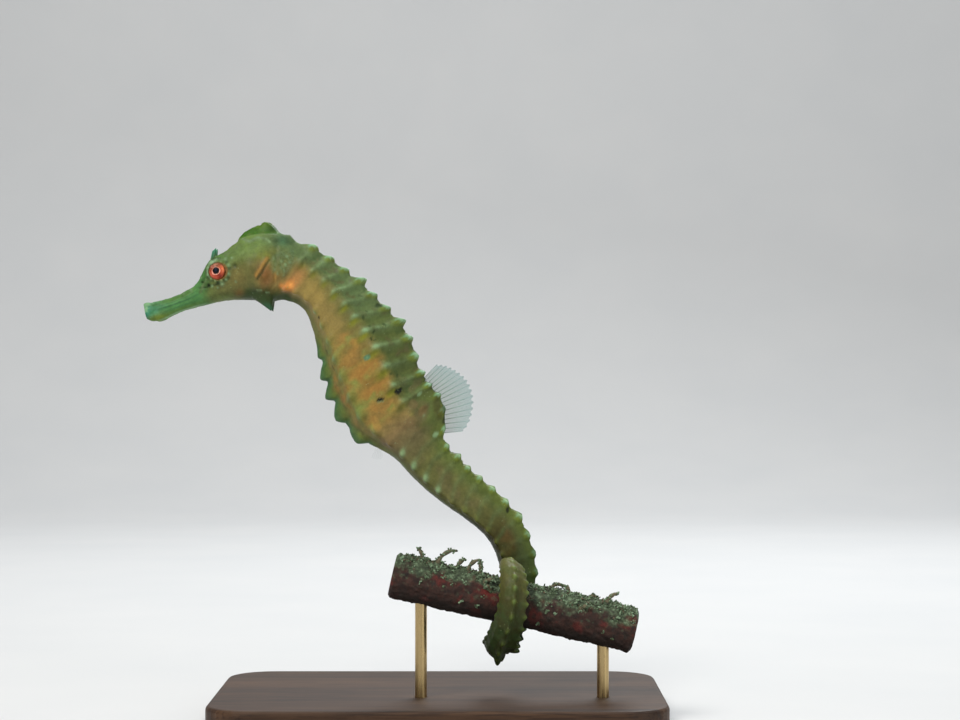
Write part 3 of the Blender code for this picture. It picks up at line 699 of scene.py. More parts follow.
def ring_paint(paint, skin, blotch, mottle):
    """The pale lines and tubercles of the trunk's rings, a painted shadow behind each line, the streaks
    across the flank, and the spines with painted highlights.
    """
    u, half, off = skin.place, skin.half, skin.off
    trunk = ease(29.0, 31.5, u) * ease(65, 61, u)
    # Dark clouds in the panels of the back.
    panel = trunk * ease(2.9, 2.3, half) * ease(0.12, 0.4, np.abs(off))
    lay(paint, "deep", panel * ease(0.0, 0.6, mottle + 0.4 * blotch) * 0.55)
    lay(paint, "dusk", trunk * ease(2.8, 2.0, half) * ease(0.05, 0.5, -mottle + 0.5 * blotch) * 0.6)
    own = np.interp(skin.ring, np.arange(12), RIB_STRENGTHS)
    # A painted shadow in bog green just tailward of each ring's pale line.
    lay(paint, "bog", trunk * bump(off - 0.30, 0.24) * ease(2.9, 2.5, half) * (0.16 + 0.2 * own))
    line = bump(off + 0.04, 0.25) * np.interp(half, (1.0, 1.5, 2.3, 2.9, 3.1), (0.2, 0.6, 0.9, 1.0, 0.0))
    lay(paint, "sage", trunk * line * (0.55 + 0.5 * own) * (0.9 + 0.5 * mottle))
    lay(paint, "mint", trunk * line * own * bump(off + 0.03, 0.13) * (0.36 + 0.5 * mottle))
    # Soft orange fields between wide slanting streaks of straw and olive.
    belly = ease(43, 48, u) * ease(65.5, 61.5, u) * ease(2.9, 3.6, half) * ease(5.7, 4.9, half)
    wander = off + 0.30 * mottle + 0.25 * blotch
    lay(paint, "orange", belly * (0.66 + 0.6 * blotch + 0.6 * mottle))
    lay(paint, "straw", belly * bump(wander, 0.28) * (0.50 + 0.7 * blotch))
    lay(paint, "moss", belly * bump(wander + 0.06, 0.22) * (0.16 + 0.6 * mottle))
    border = ease(42, 46, u) * ease(64, 60, u) * bump(half - 5.15, 0.5)
    lay(paint, "straw", border * (0.50 + 0.7 * mottle))
    lay(paint, "moss", border * ease(0.0, 0.5, blotch - 0.5 * mottle) * 0.6)
    amber = ease(51, 55, u) * ease(65.5, 63, u) * bump(half - 5.6, 0.3)
    lay(paint, "gold", amber * (0.20 + 0.8 * mottle + 0.3 * blotch))
    # Tubercles of the lateral ridge: a mint spot, and yellow behind it.
    pale = np.interp(skin.ring, np.arange(12), TUBERCLE_STRENGTHS)
    yellow = np.interp(skin.ring, (0, 3, 6, 9, 11), (0.35, 0.55, 1.0, 1.0, 0.4))
    lay(paint, "khaki", trunk * ease(54, 48, u) * bump(half - 3.25 + 0.2 * mottle, 0.55) * 0.7)
    lay(paint, "lime", trunk * bump(off - 0.24, 0.2) * bump(half - 3.15, 0.4) * 0.7)
    behind = trunk * bump(off - 0.25, 0.13) * bump(half - 3.15, 0.24)
    lay(paint, "lemon", behind * yellow * (0.6 + 0.5 * mottle))
    lay(paint, "mint", trunk * pale * bump(off, 0.13) * bump(half - 2.94, 0.27) * (0.9 + 0.6 * mottle))
    lower = ease(36, 40, u) * ease(66, 63, u)
    lay(paint, "lime", lower * bump(off - 0.12, 0.24) * bump(half - 5.2, 0.35) * 0.45)
    lay(paint, "mint", lower * bump(off, 0.17) * bump(half - 5.12, 0.17) * (0.5 + 0.5 * mottle))
    spike = skin.spike(SUPERIOR, 0.42, 0.26, 0.66) * skin.ringed * (1 - 0.5 * ease(112, 122, u))
    lay(paint, "lime", ease(0.10, 0.5, spike) * 0.75)
    lay(paint, "mint", ease(78, 84, u) * ease(0.55, 0.9, spike) * 0.7)
    # Aqua and frost: the spines' pale tips, and a painted highlight on each spine's upper, head-side face.
    ahead = spike * ease(0.02, -0.18, off)
    lay(paint, "aqua", np.maximum(ease(0.6, 0.95, spike), ease(0.25, 0.6, ahead)) * 0.7)
    lay(paint, "frost", np.maximum(ease(0.66, 0.92, spike), ease(0.36, 0.7, ahead)) * 0.72)


def keel_paint(paint, skin, mottle):
    """Leaf-green spines on the keel, with brown creases between them and an olive band above."""
    u, half = skin.place, skin.half
    keeled = ease(43, 46, u) * ease(67, 65, u)
    share = skin.keel_spikes()[1]
    lay(paint, "leaf", keeled * ease(6.0, 6.6, half) * 0.5)
    lay(paint, "lime", keeled * bump(half - 6.1, 0.5) * ease(0.05, 0.4, share) * (0.40 + 0.5 * mottle))
    lay(paint, "fir", keeled * ease(6.3, 6.9, half) * 0.6)
    lay(paint, "olive", keeled * bump(half - 5.55, 0.45) * (0.45 + 0.6 * mottle))
    crease = bump(half - 6.05, 0.18) * ease(0.05, 0.45, mottle)
    lay(paint, "umber", keeled * crease * 0.6)


def tail_paint(paint, skin, blotch, mottle):
    """The tail: lime along the dorsal edge, mint dots on the first inferior bumps, brown clouds, and painted
    shade on the coil behind and under the branch.
    """
    u, half, off = skin.place, skin.half, skin.off
    tail = ease(68, 74, u) * ease(108, 100, u)
    lay(paint, "lime", tail * ease(2.0, 0.8, half + 0.4 * mottle) * 0.3)
    upper = ease(66, 69, u) * ease(98, 90, u)
    lay(paint, "dusk", upper * ease(0.0, 0.5, blotch) * bump(half - 3.6, 1.4) * 0.7)
    lay(paint, "sage", tail * bump(off, 0.16) * ease(1.2, 2.0, half) * ease(5.2, 4.2, half) * 0.35)
    first = ease(68, 70, u) * ease(82, 79, u)
    lay(paint, "mint", first * bump(off, 0.17) * bump(half - 4.8, 0.36) * 0.85)
    rest = ease(82, 84, u) * ease(146, 140, u)
    lay(paint, "lime", rest * bump(off, 0.17) * bump(half - 4.9, 0.4) * 0.35)
    lay(paint, "rust", tail * ease(88, 95, u) * ease(0.0, 0.5, blotch) * ease(2, 3, half) * 0.3)
    # Painted shade as the tail goes down behind the branch.
    lay(paint, "deep", ease(93, 99, u) * ease(112, 108, u) * (0.42 + 0.3 * mottle))
    coil = ease(119, 126, u)
    # Painted shade on the coil where it wraps round under the branch.
    dark = np.interp(u, (100, 108, 116, 124, 129, 133, 137, 150), (0, 0.5, 0.95, 0.95, 0.8, 0.4, 0, 0))
    lay(paint, "deep", dark * (0.8 + 0.5 * mottle))
    lay(paint, "bog", ease(129, 132, u) * ease(0.0, 0.5, mottle + blotch) * 0.4)
    lay(paint, "lime", coil * (1 - dark) * bump(off, 0.2) * bump(half - 1, 0.5) * 0.25)
    lay(paint, "mint", coil * (1 - dark) * bump(off, 0.12) * bump(half - 1, 0.25) * 0.3)


# About how far apart two of a section's points lie on the flank.
FLANK_STEP = 2.6

# Marks of the left side: place, where round the body, half length, half width, turn in degrees, colour
# and strength.
MARKS = (
    (60.2, 2.70, 0.80, 0.42, 62, "soot", 1.0),
    (60.0, 2.83, 0.45, 0.46, 62, "soot", 1.0),
    (59.9, 3.78, 0.50, 0.36, -63, "soot", 0.97),
    (60.25, 3.82, 0.5, 0.14, -63, "mint", 0.5),
    (40.4, 5.1, 0.30, 0.30, 0, "soot", 0.95),
    (49.1, 2.85, 0.40, 0.22, 25, "deep", 0.85),
    (49.6, 2.7, 0.25, 0.2, 0, "deep", 0.8),
    (48.2, 2.5, 0.36, 0.2, 60, "deep", 0.8),
    (44.6, 1.25, 0.5, 0.42, 20, "deep", 0.85),
    (47.9, 1.7, 0.36, 0.24, 0, "deep", 0.7),
    (45.1, 2.5, 0.4, 0.22, 30, "deep", 0.65),
    (44.4, 2.0, 0.3, 0.2, 0, "deep", 0.6),
    (46.9, 2.5, 0.3, 0.22, 0, "deep", 0.6),
    (41.6, 1.6, 0.35, 0.25, 0, "deep", 0.45),
    (51.8, 3.5, 0.50, 0.42, 0, "teal", 0.75),
    (51.7, 3.5, 0.24, 0.2, 0, "mint", 0.5),
    (57.2, 2.3, 0.4, 0.2, 30, "deep", 0.6),
    (56.4, 2.7, 0.3, 0.2, 0, "deep", 0.6),
    (62.9, 4.6, 1.5, 0.5, 10, "gold", 0.55),
    (68.5, 0.95, 0.9, 0.6, 0, "deep", 0.8),
    (70.2, 0.9, 0.7, 0.7, 0, "soot", 0.7),
    (63.0, 1.80, 0.30, 0.42, 0, "mint", 0.8),
    (67.0, 2.3, 0.28, 0.32, 0, "mint", 0.75),
    (71.4, 1.75, 0.42, 0.55, 40, "mint", 0.85),
    (65.5, 3.0, 0.4, 0.4, 0, "straw", 0.4),
    (65.8, 2.3, 2.0, 1.4, 0, "dusk", 0.55),
    (66.2, 2.25, 0.8, 0.9, 0, "brick", 0.40),
    (64.0, 2.5, 1.0, 0.8, 20, "clay", 0.50),
    # A broad umber band at the rear of the fin hump: painted shade.
    (67.5, 1.35, 2.2, 0.7, 0, "umber", 0.60),
    (91.2, 1.35, 0.6, 0.35, 60, "soot", 0.85),
    (46.5, 5.9, 0.9, 0.13, 8, "deep", 0.6),
    (50.3, 5.7, 0.9, 0.13, 10, "deep", 0.55),
)


def head_paint(paint, skin, points, blotch, mottle, fine):
    """The head, from the tip of the snout to the glowing patch behind the gill."""
    snout_paint(paint, skin, blotch, mottle, fine)
    cheek_paint(paint, skin, 0.35 * blotch + 0.35 * mottle)
    shoulder_paint(paint, skin, mottle, fine)
    glow_paint(paint, skin, mottle)
    throat_paint(paint, skin, mottle)
    eye_rim_paint(paint, skin, points, mottle)
    crown_paint(paint, skin, mottle)
    # Inside the mouth, near black: painted shade.
    lay(paint, "soot", np.broadcast_to(skin.inside_mouth, skin.place.shape) * 0.9)


def cheek_paint(paint, skin, cloud):
    """Green forehead, tan behind the eye, and a brown gill cover with an orange streak along its front."""
    u, above, flank = skin.place, skin.above, skin.flank()
    lay(paint, "moss", skin.oval(22.4, 2.9, 2.4, 1.5) * 0.75)
    lay(paint, "sage", skin.oval(20.3, 3.6, 1.8, 1.2, 0.3 * cloud) * 0.5)
    lay(paint, "tan", skin.oval(19.4, -0.9, 1.9, 1.9, cloud) * flank * 0.4)
    lay(paint, "khaki", skin.oval(21.9, -0.2, 1.5, 2.6) * flank * 0.5)
    cover = skin.oval(25.0, -1.9, 1.7, 2.3) * flank
    lay(paint, "rust", cover)
    lay(paint, "brick", cover * ease(-0.25, 0.25, cloud) * 0.95)
    streak = line(skin, GILL_STREAK)
    lay(paint, "lime", bump(np.hypot(u - 25.0, above - 1.5), 1.0) * flank * 0.7)
    lay(paint, "orange", bump(streak, 0.34) * flank)
    lay(paint, "gold", bump(streak, 0.2) * flank)
    # Dark along the fold before the gill: painted shade in the crease.
    lay(paint, "deep", bump(line(skin, FOLD_BEFORE_GILL), 0.17) * flank * 0.75)


def shoulder_paint(paint, skin, mottle, fine):
    """The dark shoulder of the gill cover, the speckled root of the pectoral fin, and behind them."""
    u, above, flank = skin.place, skin.above, skin.flank()
    lay(paint, "slate", skin.oval(26.6, 2.2, 1.5, 2.0) * flank * 0.8)
    root = ease(1.35, 0.75, np.hypot((u - 27.9) / 1.9, (above - 0.5) / 2.3) + 0.2 * mottle) * flank
    lay(paint, "sage", root * 0.6)
    lay(paint, "slate", root * ease(0.0, 0.35, fine + 0.5 * mottle) * 0.7)
    lay(paint, "mint", spots(skin, GRANULES) * flank * (0.5 + 0.6 * mottle))
    lay(paint, "rust", skin.oval(27.9, -2.7, 1.2, 1.0) * flank * 0.9)
    lay(paint, "deep", bump(line(skin, ((28.7, -2.1), (29.5, -0.9))), 0.25) * flank * 0.5)
    lay(paint, "orange", bump(np.hypot(u - 27.1, (above + 2.2) / 2.2), 0.35) * flank * 0.85)
    lay(paint, "peach", bump(line(skin, ((32.4, -1.0), (36.0, -1.0))), 2.1) * flank * 0.75)


def glow_paint(paint, skin, mottle):
    """The glow behind the gill: orange in front, a soft salmon arm upwards, and a bright heart."""
    u, above, flank = skin.place, skin.above, skin.flank()
    around = line(skin, ((28.4, -3.3), (30.3, -3.4), (31.2, -2.3), (31.5, -0.2))) + 0.25 * mottle
    lay(paint, "tan", bump(around, 1.45) * flank * 0.9)
    arm = line(skin, ((30.9, -3.0), (31.5, -1.4), (31.6, 0.0)))
    lay(paint, "salmon", bump(arm, 1.1) * np.interp(above, (-3, -1.2, 0.3), (1, 0.85, 0.45)) * flank)
    lay(paint, "gold", bump(arm, 0.7) * np.interp(above, (-3, -1.2, 0.3), (1, 0.8, 0.3)) * flank * 0.6)
    lay(paint, "glow", bump(line(skin, ((28.9, -3.45), (30.3, -3.5))), 0.5) * flank * 0.6)
    lay(paint, "glow", bump(np.hypot((u - 30.9) / 0.95, (above + 2.85) / 1.1), 0.95) * flank)
    lay(paint, "blaze", spots(skin, ((31.0, -2.6, 0.55), (30.6, -3.1, 0.4))) * flank * 0.8)
    lay(paint, "blush", spots(skin, ((29.9, -3.75, 0.36),)) * flank * 0.35)


def throat_paint(paint, skin, mottle):
    """The throat and the underside of the gill cover, painted dark as shade under the head, with two pale
    streaks.
    """
    u = skin.place
    throat = ease(4.6, 6.2, skin.half + 0.3 * mottle) * ease(17.5, 20, u) * ease(33.5, 31, u)
    # Painted shade under the head, in bog and deep green.
    lay(paint, "bog", throat * 0.92)
    lay(paint, "deep", throat * bump((u - 23.8) / 3.4, 1.0) * 0.9)
    for start, end in (((22.2, -4.5), (23.6, -4.7)), ((24.7, -5.1), (25.9, -5.15))):
        lay(paint, "mint", bump(line(skin, (start, end)), 0.15) * 0.6)
    lay(paint, "rust", skin.oval(18.0, -3.7, 1.1, 0.7) * 0.6)


def crown_paint(paint, skin, mottle):
    """Dark olive green with a painted highlight on top and painted shade at the rear, over a soft pale line
    where the crown rises from the head.
    """
    u, above = skin.place, skin.above
    base = line(skin, ((21.9, 5.6), (22.8, 4.7), (23.8, 5.3), (24.9, 5.0), (25.5, 4.4)))
    lay(paint, "sage", bump(base, 0.36) * (above > 3) * 0.85)
    lay(paint, "mint", bump(base, 0.2) * (above > 3) * (0.35 + 0.5 * mottle))
    on_crown = ease(21.2, 21.8, u) * ease(27.0, 26.4, u) * ease(5.75, 6.1, above)
    lay(paint, "fern", on_crown * 0.95)
    lay(paint, "olive", on_crown * ease(-0.1, 0.5, mottle) * 0.6)
    # A painted highlight on the top of the crown.
    lay(paint, "lime", on_crown * skin.oval(24.4, 7.8, 0.9, 0.7) * 0.4)
    # Painted shade on the rear of the crown.
    lay(paint, "deep", on_crown * bump(np.hypot(u - 25.6, (above - 6.9) / 1.4), 0.55) * 0.7)
    lay(paint, "fir", skin.oval(27.2, 4.9, 1.1, 1.2) * 0.7)
    lay(paint, "deep", bump(np.hypot(u - 26.3, above - 4.6), 0.45) * 0.6)


def snout_paint(paint, skin, blotch, mottle, fine):
    """Teal lips, lengthwise dark streaks, a pale jaw edge and a lime chin."""
    u, half = skin.place, skin.half
    snout = ease(12, 9, u)
    wander = half + 0.22 * blotch
    for middle, width, strength in ((3.1, 0.28, 0.6), (4.1, 0.2, 0.4), (2.1, 0.2, 0.35)):
        broken = snout * bump(wander - middle, width) * ease(-0.55, 0.25, mottle) * strength
        lay(paint, "fir", ease(0.8, 2.5, u) * broken)
        lay(paint, "deep", ease(1.5, 3.5, u) * bump(wander - middle, width * 0.5) * broken * 0.5)
    lay(paint, "moss", snout * bump(wander - 1.4, 0.5) * 0.35)
    lay(paint, "lime", snout * ease(4.3, 5.0, wander) * 0.22)
    lay(paint, "lime", bump(np.hypot((u - 2.3) / 1.7, (half - 5.0) / 1.2), 1.0) * 0.8)
    lay(paint, "frost", snout * bump(half - 5.9, 0.4) * ease(1.5, 3, u) * 0.5)
    lips = ease(3.8, 0.8, u)
    lay(paint, "aqua", lips * ease(-0.2, 0.4, mottle) * ease(4.6, 3.4, half) * 0.7)
    lay(paint, "mint", lips * ease(0.0, 0.4, mottle + 0.4 * fine) * ease(3.6, 2.4, half) * 0.6)
    lay(paint, "teal", ease(1.3, 0.3, u) * ease(0.2, -0.3, mottle) * 0.5)


def eye_rim_paint(paint, skin, points, mottle):
    """Round the eye: a painted highlight on the rim above, dark and pale speckles below and behind, and the
    nostrils.
    """
    flank = skin.flank()
    distance = from_eye(points)
    centre = eye_centre(1)
    angle = np.degrees(np.arctan2(points[..., 2] - centre[2], points[..., 0] - centre[0]))
    near = ease(2.9, 1.8, distance) * flank
    knobs = np.clip(np.cos(np.radians(11 * angle) + 0.8 * np.sin(np.radians(3 * angle))), 0, 1)
    away = np.abs((angle - 110 + 180) % 360 - 180)
    front = bump((np.abs(angle) - 180), 55)
    lay(paint, "olive", near * 0.5)
    lay(paint, "deep", bump(distance - 2.0, 0.34) * ease(40, 100, away) * (1 - knobs) * flank * 0.6)
    lay(paint, "deep", bump(distance - 2.45, 0.3) * bump(angle - 100, 35) * flank * 0.7)
    lay(paint, "mint", bump(distance - 1.86, 0.22) * knobs * (0.35 + 0.6 * front) * flank)
    # Frost on the rim above the eye: a painted highlight.
    lay(paint, "frost", bump(distance - 1.95, 0.38) * bump(angle - 120, 22) * 0.9 * flank)
    lay(paint, "frost", bump(distance - 1.86, 0.2) * bump(away - 75, 32) * front * 0.6 * flank)
    # Dark along the fold under the eye: painted shade in the crease.
    lay(paint, "deep", bump(line(skin, FOLD_UNDER_EYE), 0.2) * flank * 0.6)
    lay(paint, "deep", spots(skin, PITS) * flank * 0.7)
    lay(paint, "mint", spots(skin, KNOBS) * 0.65)
    lay(paint, "sage", bump(line(skin, NASAL_RIDGE), 0.3) * flank * 0.8)
    # Near black in the nostrils: painted shade in the holes.
    lay(paint, "soot", spots(skin, [(*spot, 0.24) for spot in NOSTRILS]) * flank * 0.8)
    # The lids blend from brown behind the eye to near black before it.
    rear = bump(angle - 5, 50)
    lid = ease(1.84, 1.64, distance - 0.3 * rear) * flank
    lay(paint, "rust", lid * (0.55 + 0.3 * rear))
    lay(paint, "soot", lid * front * 0.35)


def skin_uv(skin):
    """UV places of the grid's points: the body is unrolled in two strips, split across the tail root."""
    split = 72.0
    second = skin.place[:, 0] > split
    along = np.where(second, (skin.place[:, 0] - split) / (TAIL_END - split), skin.place[:, 0] / split)
    return 0.01 + 0.98 * along, second


def build_skin():
    skin = Skin()
    ring_relief(skin)
    head_relief(skin)
    points = skin.points()
    relief = 0.07 * cloudy(points, 1.5, 3, 5.0) + 0.03 * cloudy(points, 0.5, 2, 9.0)
    quiet = ease(2.2, 3.2, from_eye(points)) * 0.8 + 0.2
    skin.raise_by(relief * quiet * np.minimum(1, 0.35 + skin.size * 0.65) - 0.03)
    paint = skin_paint(skin, skin.points())
    points = orbit_relief(skin.points())
    for side in (1, -1):
        points, thorn = thorn_relief(points, (23.2, -6.2, 2.0), (27.8, -8.55, 2.4), 1.9, 3.0, False, side)
        lay(paint, "bog", ease(0.02, 0.15, thorn) * 0.75)
        lay(paint, "fir", ease(0.35, 0.75, thorn) * 0.8)
        points, thorn = thorn_relief(points, (16.6, 4.0, 1.5), (17.35, 5.75, 1.35), 0.66, 0.66, True, side)
        lay(paint, "teal", ease(0.1, 0.5, thorn) * 0.8)
        lay(paint, "aqua", ease(0.75, 1.0, thorn) * 0.7)
    rows, columns = points.shape[:2]
    index = np.arange(rows * columns).reshape(rows, columns)
    turned = np.roll(index, -1, axis=1)
    ends = [points[0].mean(0), points[-1].mean(0)]
    first, last = rows * columns, rows * columns + 1
    caps = [(turned[0, k], index[0, k], first) for k in range(columns)]
    caps += [(index[-1, k], turned[-1, k], last) for k in range(columns)]
    vertices = np.concatenate([points.reshape(-1, 3), ends])
    colours = np.concatenate([paint.reshape(-1, 3), paint[0, :1], paint[-1, :1]])
    made = add_mesh("skin", vertices, [*ring_quads(index), *caps])
    add_paint(made, colours)
    strip_uv(made, skin, rows, columns)
    return made


def strip_uv(made, skin, rows, columns):
    """Writes the UV map named OFBake: each face takes its own corner of its strip."""
    along, second = skin_uv(skin)
    base, height = np.array((0.02, 0.65)), np.array((0.62, 0.34))
    coordinates = np.zeros((len(made.data.loops), 2), np.float32)
    row, column = np.divmod(np.arange((rows - 1) * columns), columns)
    strip = second[row].astype(int)
    for corner, (down, over) in enumerate(((0, 0), (0, 1), (1, 1), (1, 0))):
        u = along[np.minimum(row + down, rows - 1)]
        # A face that straddles the split keeps to its own strip.
        u = np.where(second[row + down] != second[row], 0.995, u)
        v = (column + over) / columns
        loops = np.arange(len(row)) * 4 + corner
        coordinates[loops, 0] = u
        coordinates[loops, 1] = base[strip] + height[strip] * v
    caps_from = len(row) * 4
    coordinates[caps_from:] = (0.005, 0.005)
    uv = made.data.uv_layers.new(name="OFBake")
    uv.data.foreach_set("uv", coordinates.ravel())


# Meshes


def ring_quads(index):
    """Quads between the rows of a grid of point numbers whose rows close on themselves."""
    turned = np.roll(index, -1, axis=1)
    return np.stack([index[:-1], turned[:-1], turned[1:], index[1:]], -1).reshape(-1, 4).tolist()


def add_mesh(name, vertices, faces):
    """A smooth mesh object from points in millimetres."""
    data = bpy.data.meshes.new(name)
    data.from_pydata((np.asarray(vertices) * MM).tolist(), [], faces)
    data.validate()
    data.shade_smooth()
    made = bpy.data.objects.new(name, data)
    bpy.context.scene.collection.objects.link(made)
    return made


def add_paint(made, colours):
    layer = made.data.color_attributes.new("paint", "FLOAT_COLOR", "POINT")
    rows = np.ones((len(made.data.vertices), 4), np.float32)
    rows[:, :3] = colours
    layer.data.foreach_set("color", rows.ravel())


def tube(points, radii, sides):
    """Vertices and faces of a tapered tube through points, closed at both ends."""
    points = np.asarray(points, float)
    forward = unit(np.gradient(points, axis=0))
    helper = np.array([0.0, 0.0, 1.0]) if abs(forward[0, 2]) < 0.9 else np.array([1.0, 0.0, 0.0])
    first = unit(np.cross(forward, helper))
    second = np.cross(forward, first)
    angles = math.tau * np.arange(sides) / sides
    cosines, sines = np.cos(angles)[None, :, None], np.sin(angles)[None, :, None]
    circle = cosines * first[:, None] + sines * second[:, None]
    rings = points[:, None] + circle * np.asarray(radii)[:, None, None]
    faces = []
    for row in range(len(points) - 1):
        for k in range(sides):
            a, b = row * sides + k, row * sides + (k + 1) % sides
            faces.append((a, a + sides, b + sides, b))
    last = (len(points) - 1) * sides
    faces.append(tuple(range(sides)))
    faces.append(tuple(range(last + sides - 1, last - 1, -1)))
    return rings.reshape(-1, 3), faces


class Bundle:
    """Many small meshes that become one piece."""

    def __init__(self):
        self.vertices, self.faces, self.colours, self.count = [], [], [], 0

    def add(self, vertices, faces, colours):
        self.vertices.append(np.asarray(vertices, float))
        self.faces += [tuple(self.count + i for i in face) for face in faces]
        self.colours.append(np.broadcast_to(colours, (len(vertices), 3)))
        self.count += len(vertices)

    def make(self, name):
        made = add_mesh(name, np.concatenate(self.vertices), self.faces)
        add_paint(made, np.concatenate(self.colours))
        return made


# Eyes


IRIS_SHIFT = 0.26
PUPIL_RADIUS = 0.63
RING_RADIUS = 0.90

def towards(theta, degrees, width):
    """0 to 1, near one direction round the eye."""
    gap = (theta - math.radians(degrees) + math.pi) % math.tau - math.pi
    return bump(gap, math.radians(width))


def eye_paint(rho, theta, up, fold, folded, jitter):
    """The eyeball's colours, by distance from its middle, direction, height over the pupil, and folds."""
    paint = np.array(PALETTE["eye red"]) * np.ones((*rho.shape, 3))
    # Tan at the top of the eye: painted shade under the lid.
    lay(paint, "eye tan", towards(theta, 95, 50) * 0.95)
    lay(paint, "eye bark", towards(theta, 165, 30) * 0.7)
    lay(paint, "eye salmon", towards(theta, 225, 42) * ease(1.6, 1.2, rho))
    lay(paint, "eye orange", towards(theta, 12, 40) * bump(rho - 1.22, 0.30))
    lay(paint, "eye wine", towards(theta, 303, 30) * ease(1.5, 1.25, rho))
    dark = ease(0.2, 0.8, fold + 0.5 * jitter) * folded
    lay(paint, "eye wine", dark * 0.4)
    # Bark brown in the folds at the top of the eye: painted shade under the lid.
    lay(paint, "eye bark", dark * towards(theta, 95, 50) * 0.8)
    lay(paint, "eye bark", ease(1.36, 1.56, rho + 0.1 * towards(theta, 0, 40)) * 0.85)
    # The pale ring is drawn out below the pupil, on the side of the snout.
    rim = 0.77 + 0.17 * towards(theta, 222, 34) + 0.05 * towards(theta, 20, 40) + 0.04 * jitter
    ring = ease(rim + 0.04, rim - 0.05, rho)
    bright = 0.38 + 0.62 * np.maximum(towards(theta, 222, 55), towards(theta, 350, 50))
    lay(paint, "eye wine", bump(rho - rim - 0.08, 0.06) * (0.45 + 0.4 * jitter))
    lay(paint, "eye tan", ring)
    lay(paint, "eye pink", ring * bright)
    # The pupil is a pentagon with soft corners and a dark red edge below.
    pupil = rho * (1 + 0.04 * np.cos(5 * theta + 0.6))
    lay(paint, "eye wine", bump(pupil - PUPIL_RADIUS - 0.03, 0.05) * towards(theta, 205, 60) * 0.9)
    lay(paint, "eye black", ease(PUPIL_RADIUS + 0.03, PUPIL_RADIUS - 0.03, pupil))
    # A painted highlight: a soft navy glint in the middle of the pupil.
    lay(paint, "eye painted glint", bump(np.hypot(rho * np.cos(theta) - 0.02, up - 0.2), 0.2) * 0.8)
    return shade(paint, 0.3 * jitter * folded)


def build_eye(side, tag):
    """The eyeball: a red cone of folds round a pale pink ring, and a black pupil that looks forwards."""
    centre = eye_centre(side)
    steps, sides = 72, 144
    reach = np.linspace(0, 1, steps) ** 0.95 * 1.70
    angle = math.tau * np.arange(sides) / sides
    rho, theta = np.meshgrid(reach, angle, indexing="ij")
    # The pupil and its ring lie off the middle, towards the snout; the folds spread out from them.
    edge = np.clip(rho / EYE_OPENING, 0, 1)
    shift = IRIS_SHIFT * (1 - edge**2)
    across = rho * np.cos(theta) - shift
    up = rho * np.sin(theta) + 0.18 * (1 - edge)
    share = np.clip(np.hypot(across, up) / (EYE_RADIUS + 0.03), 0, 0.999)
    dome = 1.32 * np.sqrt(1 - share**2)
    jitter = cloudy(np.stack([rho * np.cos(theta), theta * 0, rho * np.sin(theta)], -1), 0.5, 2, 3.0)
    fold = np.sin(4 * theta + 2.2 * rho + 1.6 * jitter)
    cone = ease(RING_RADIUS, RING_RADIUS + 0.15, rho)
    folded = cone * ease(1.66, 1.4, rho)
    out = dome - 0.05 * ease(1.10, 0.92, rho) + 0.04 * fold * folded
    out = out - 0.04 * bump(rho - PUPIL_RADIUS, 0.05) + 0.03 * bump(rho - 0.78, 0.1)
    out[-1] = -0.5
    points = np.stack([centre[0] + across, centre[1] - side * out, centre[2] + up], -1)
    colour = eye_paint(rho, theta, up, fold, folded, jitter)
    index = np.arange(steps * sides).reshape(steps, sides)
    turned = np.roll(index, -1, axis=1)
    # The innermost ring has no width, so its first point stands for the pole.
    faces = [*ring_quads(index[1:]), *((index[1, k], 0, turned[1, k]) for k in range(sides))]
    faces += [(index[-1, k], turned[-1, k], steps * sides) for k in range(sides)]
    vertices = np.concatenate([points.reshape(-1, 3), [centre + np.array((0, 0.5 * side, 0))]])
    ball = add_mesh(f"eyeball_{tag}", vertices, faces)
    add_paint(ball, np.concatenate([colour.reshape(-1, 3), [PALETTE["eye wine"]]]))
    weld(ball)
    ball.data.materials.append(MATERIALS["eye"])
    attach(ball, "root")
    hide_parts(f"eye_{tag}")


def weld(made):
    """Joins points that lie together and turns every face outwards."""
    mesh = bmesh.new()
    mesh.from_mesh(made.data)
    bmesh.ops.remove_doubles(mesh, verts=mesh.verts, dist=1e-6)
    bmesh.ops.recalc_face_normals(mesh, faces=mesh.faces)
    mesh.to_mesh(made.data)
    mesh.free()


# Fins


def ripple(points, normal, height, size, shift):
    return points + (height * cloudy(points, size, 2, shift))[..., None] * np.asarray(normal)


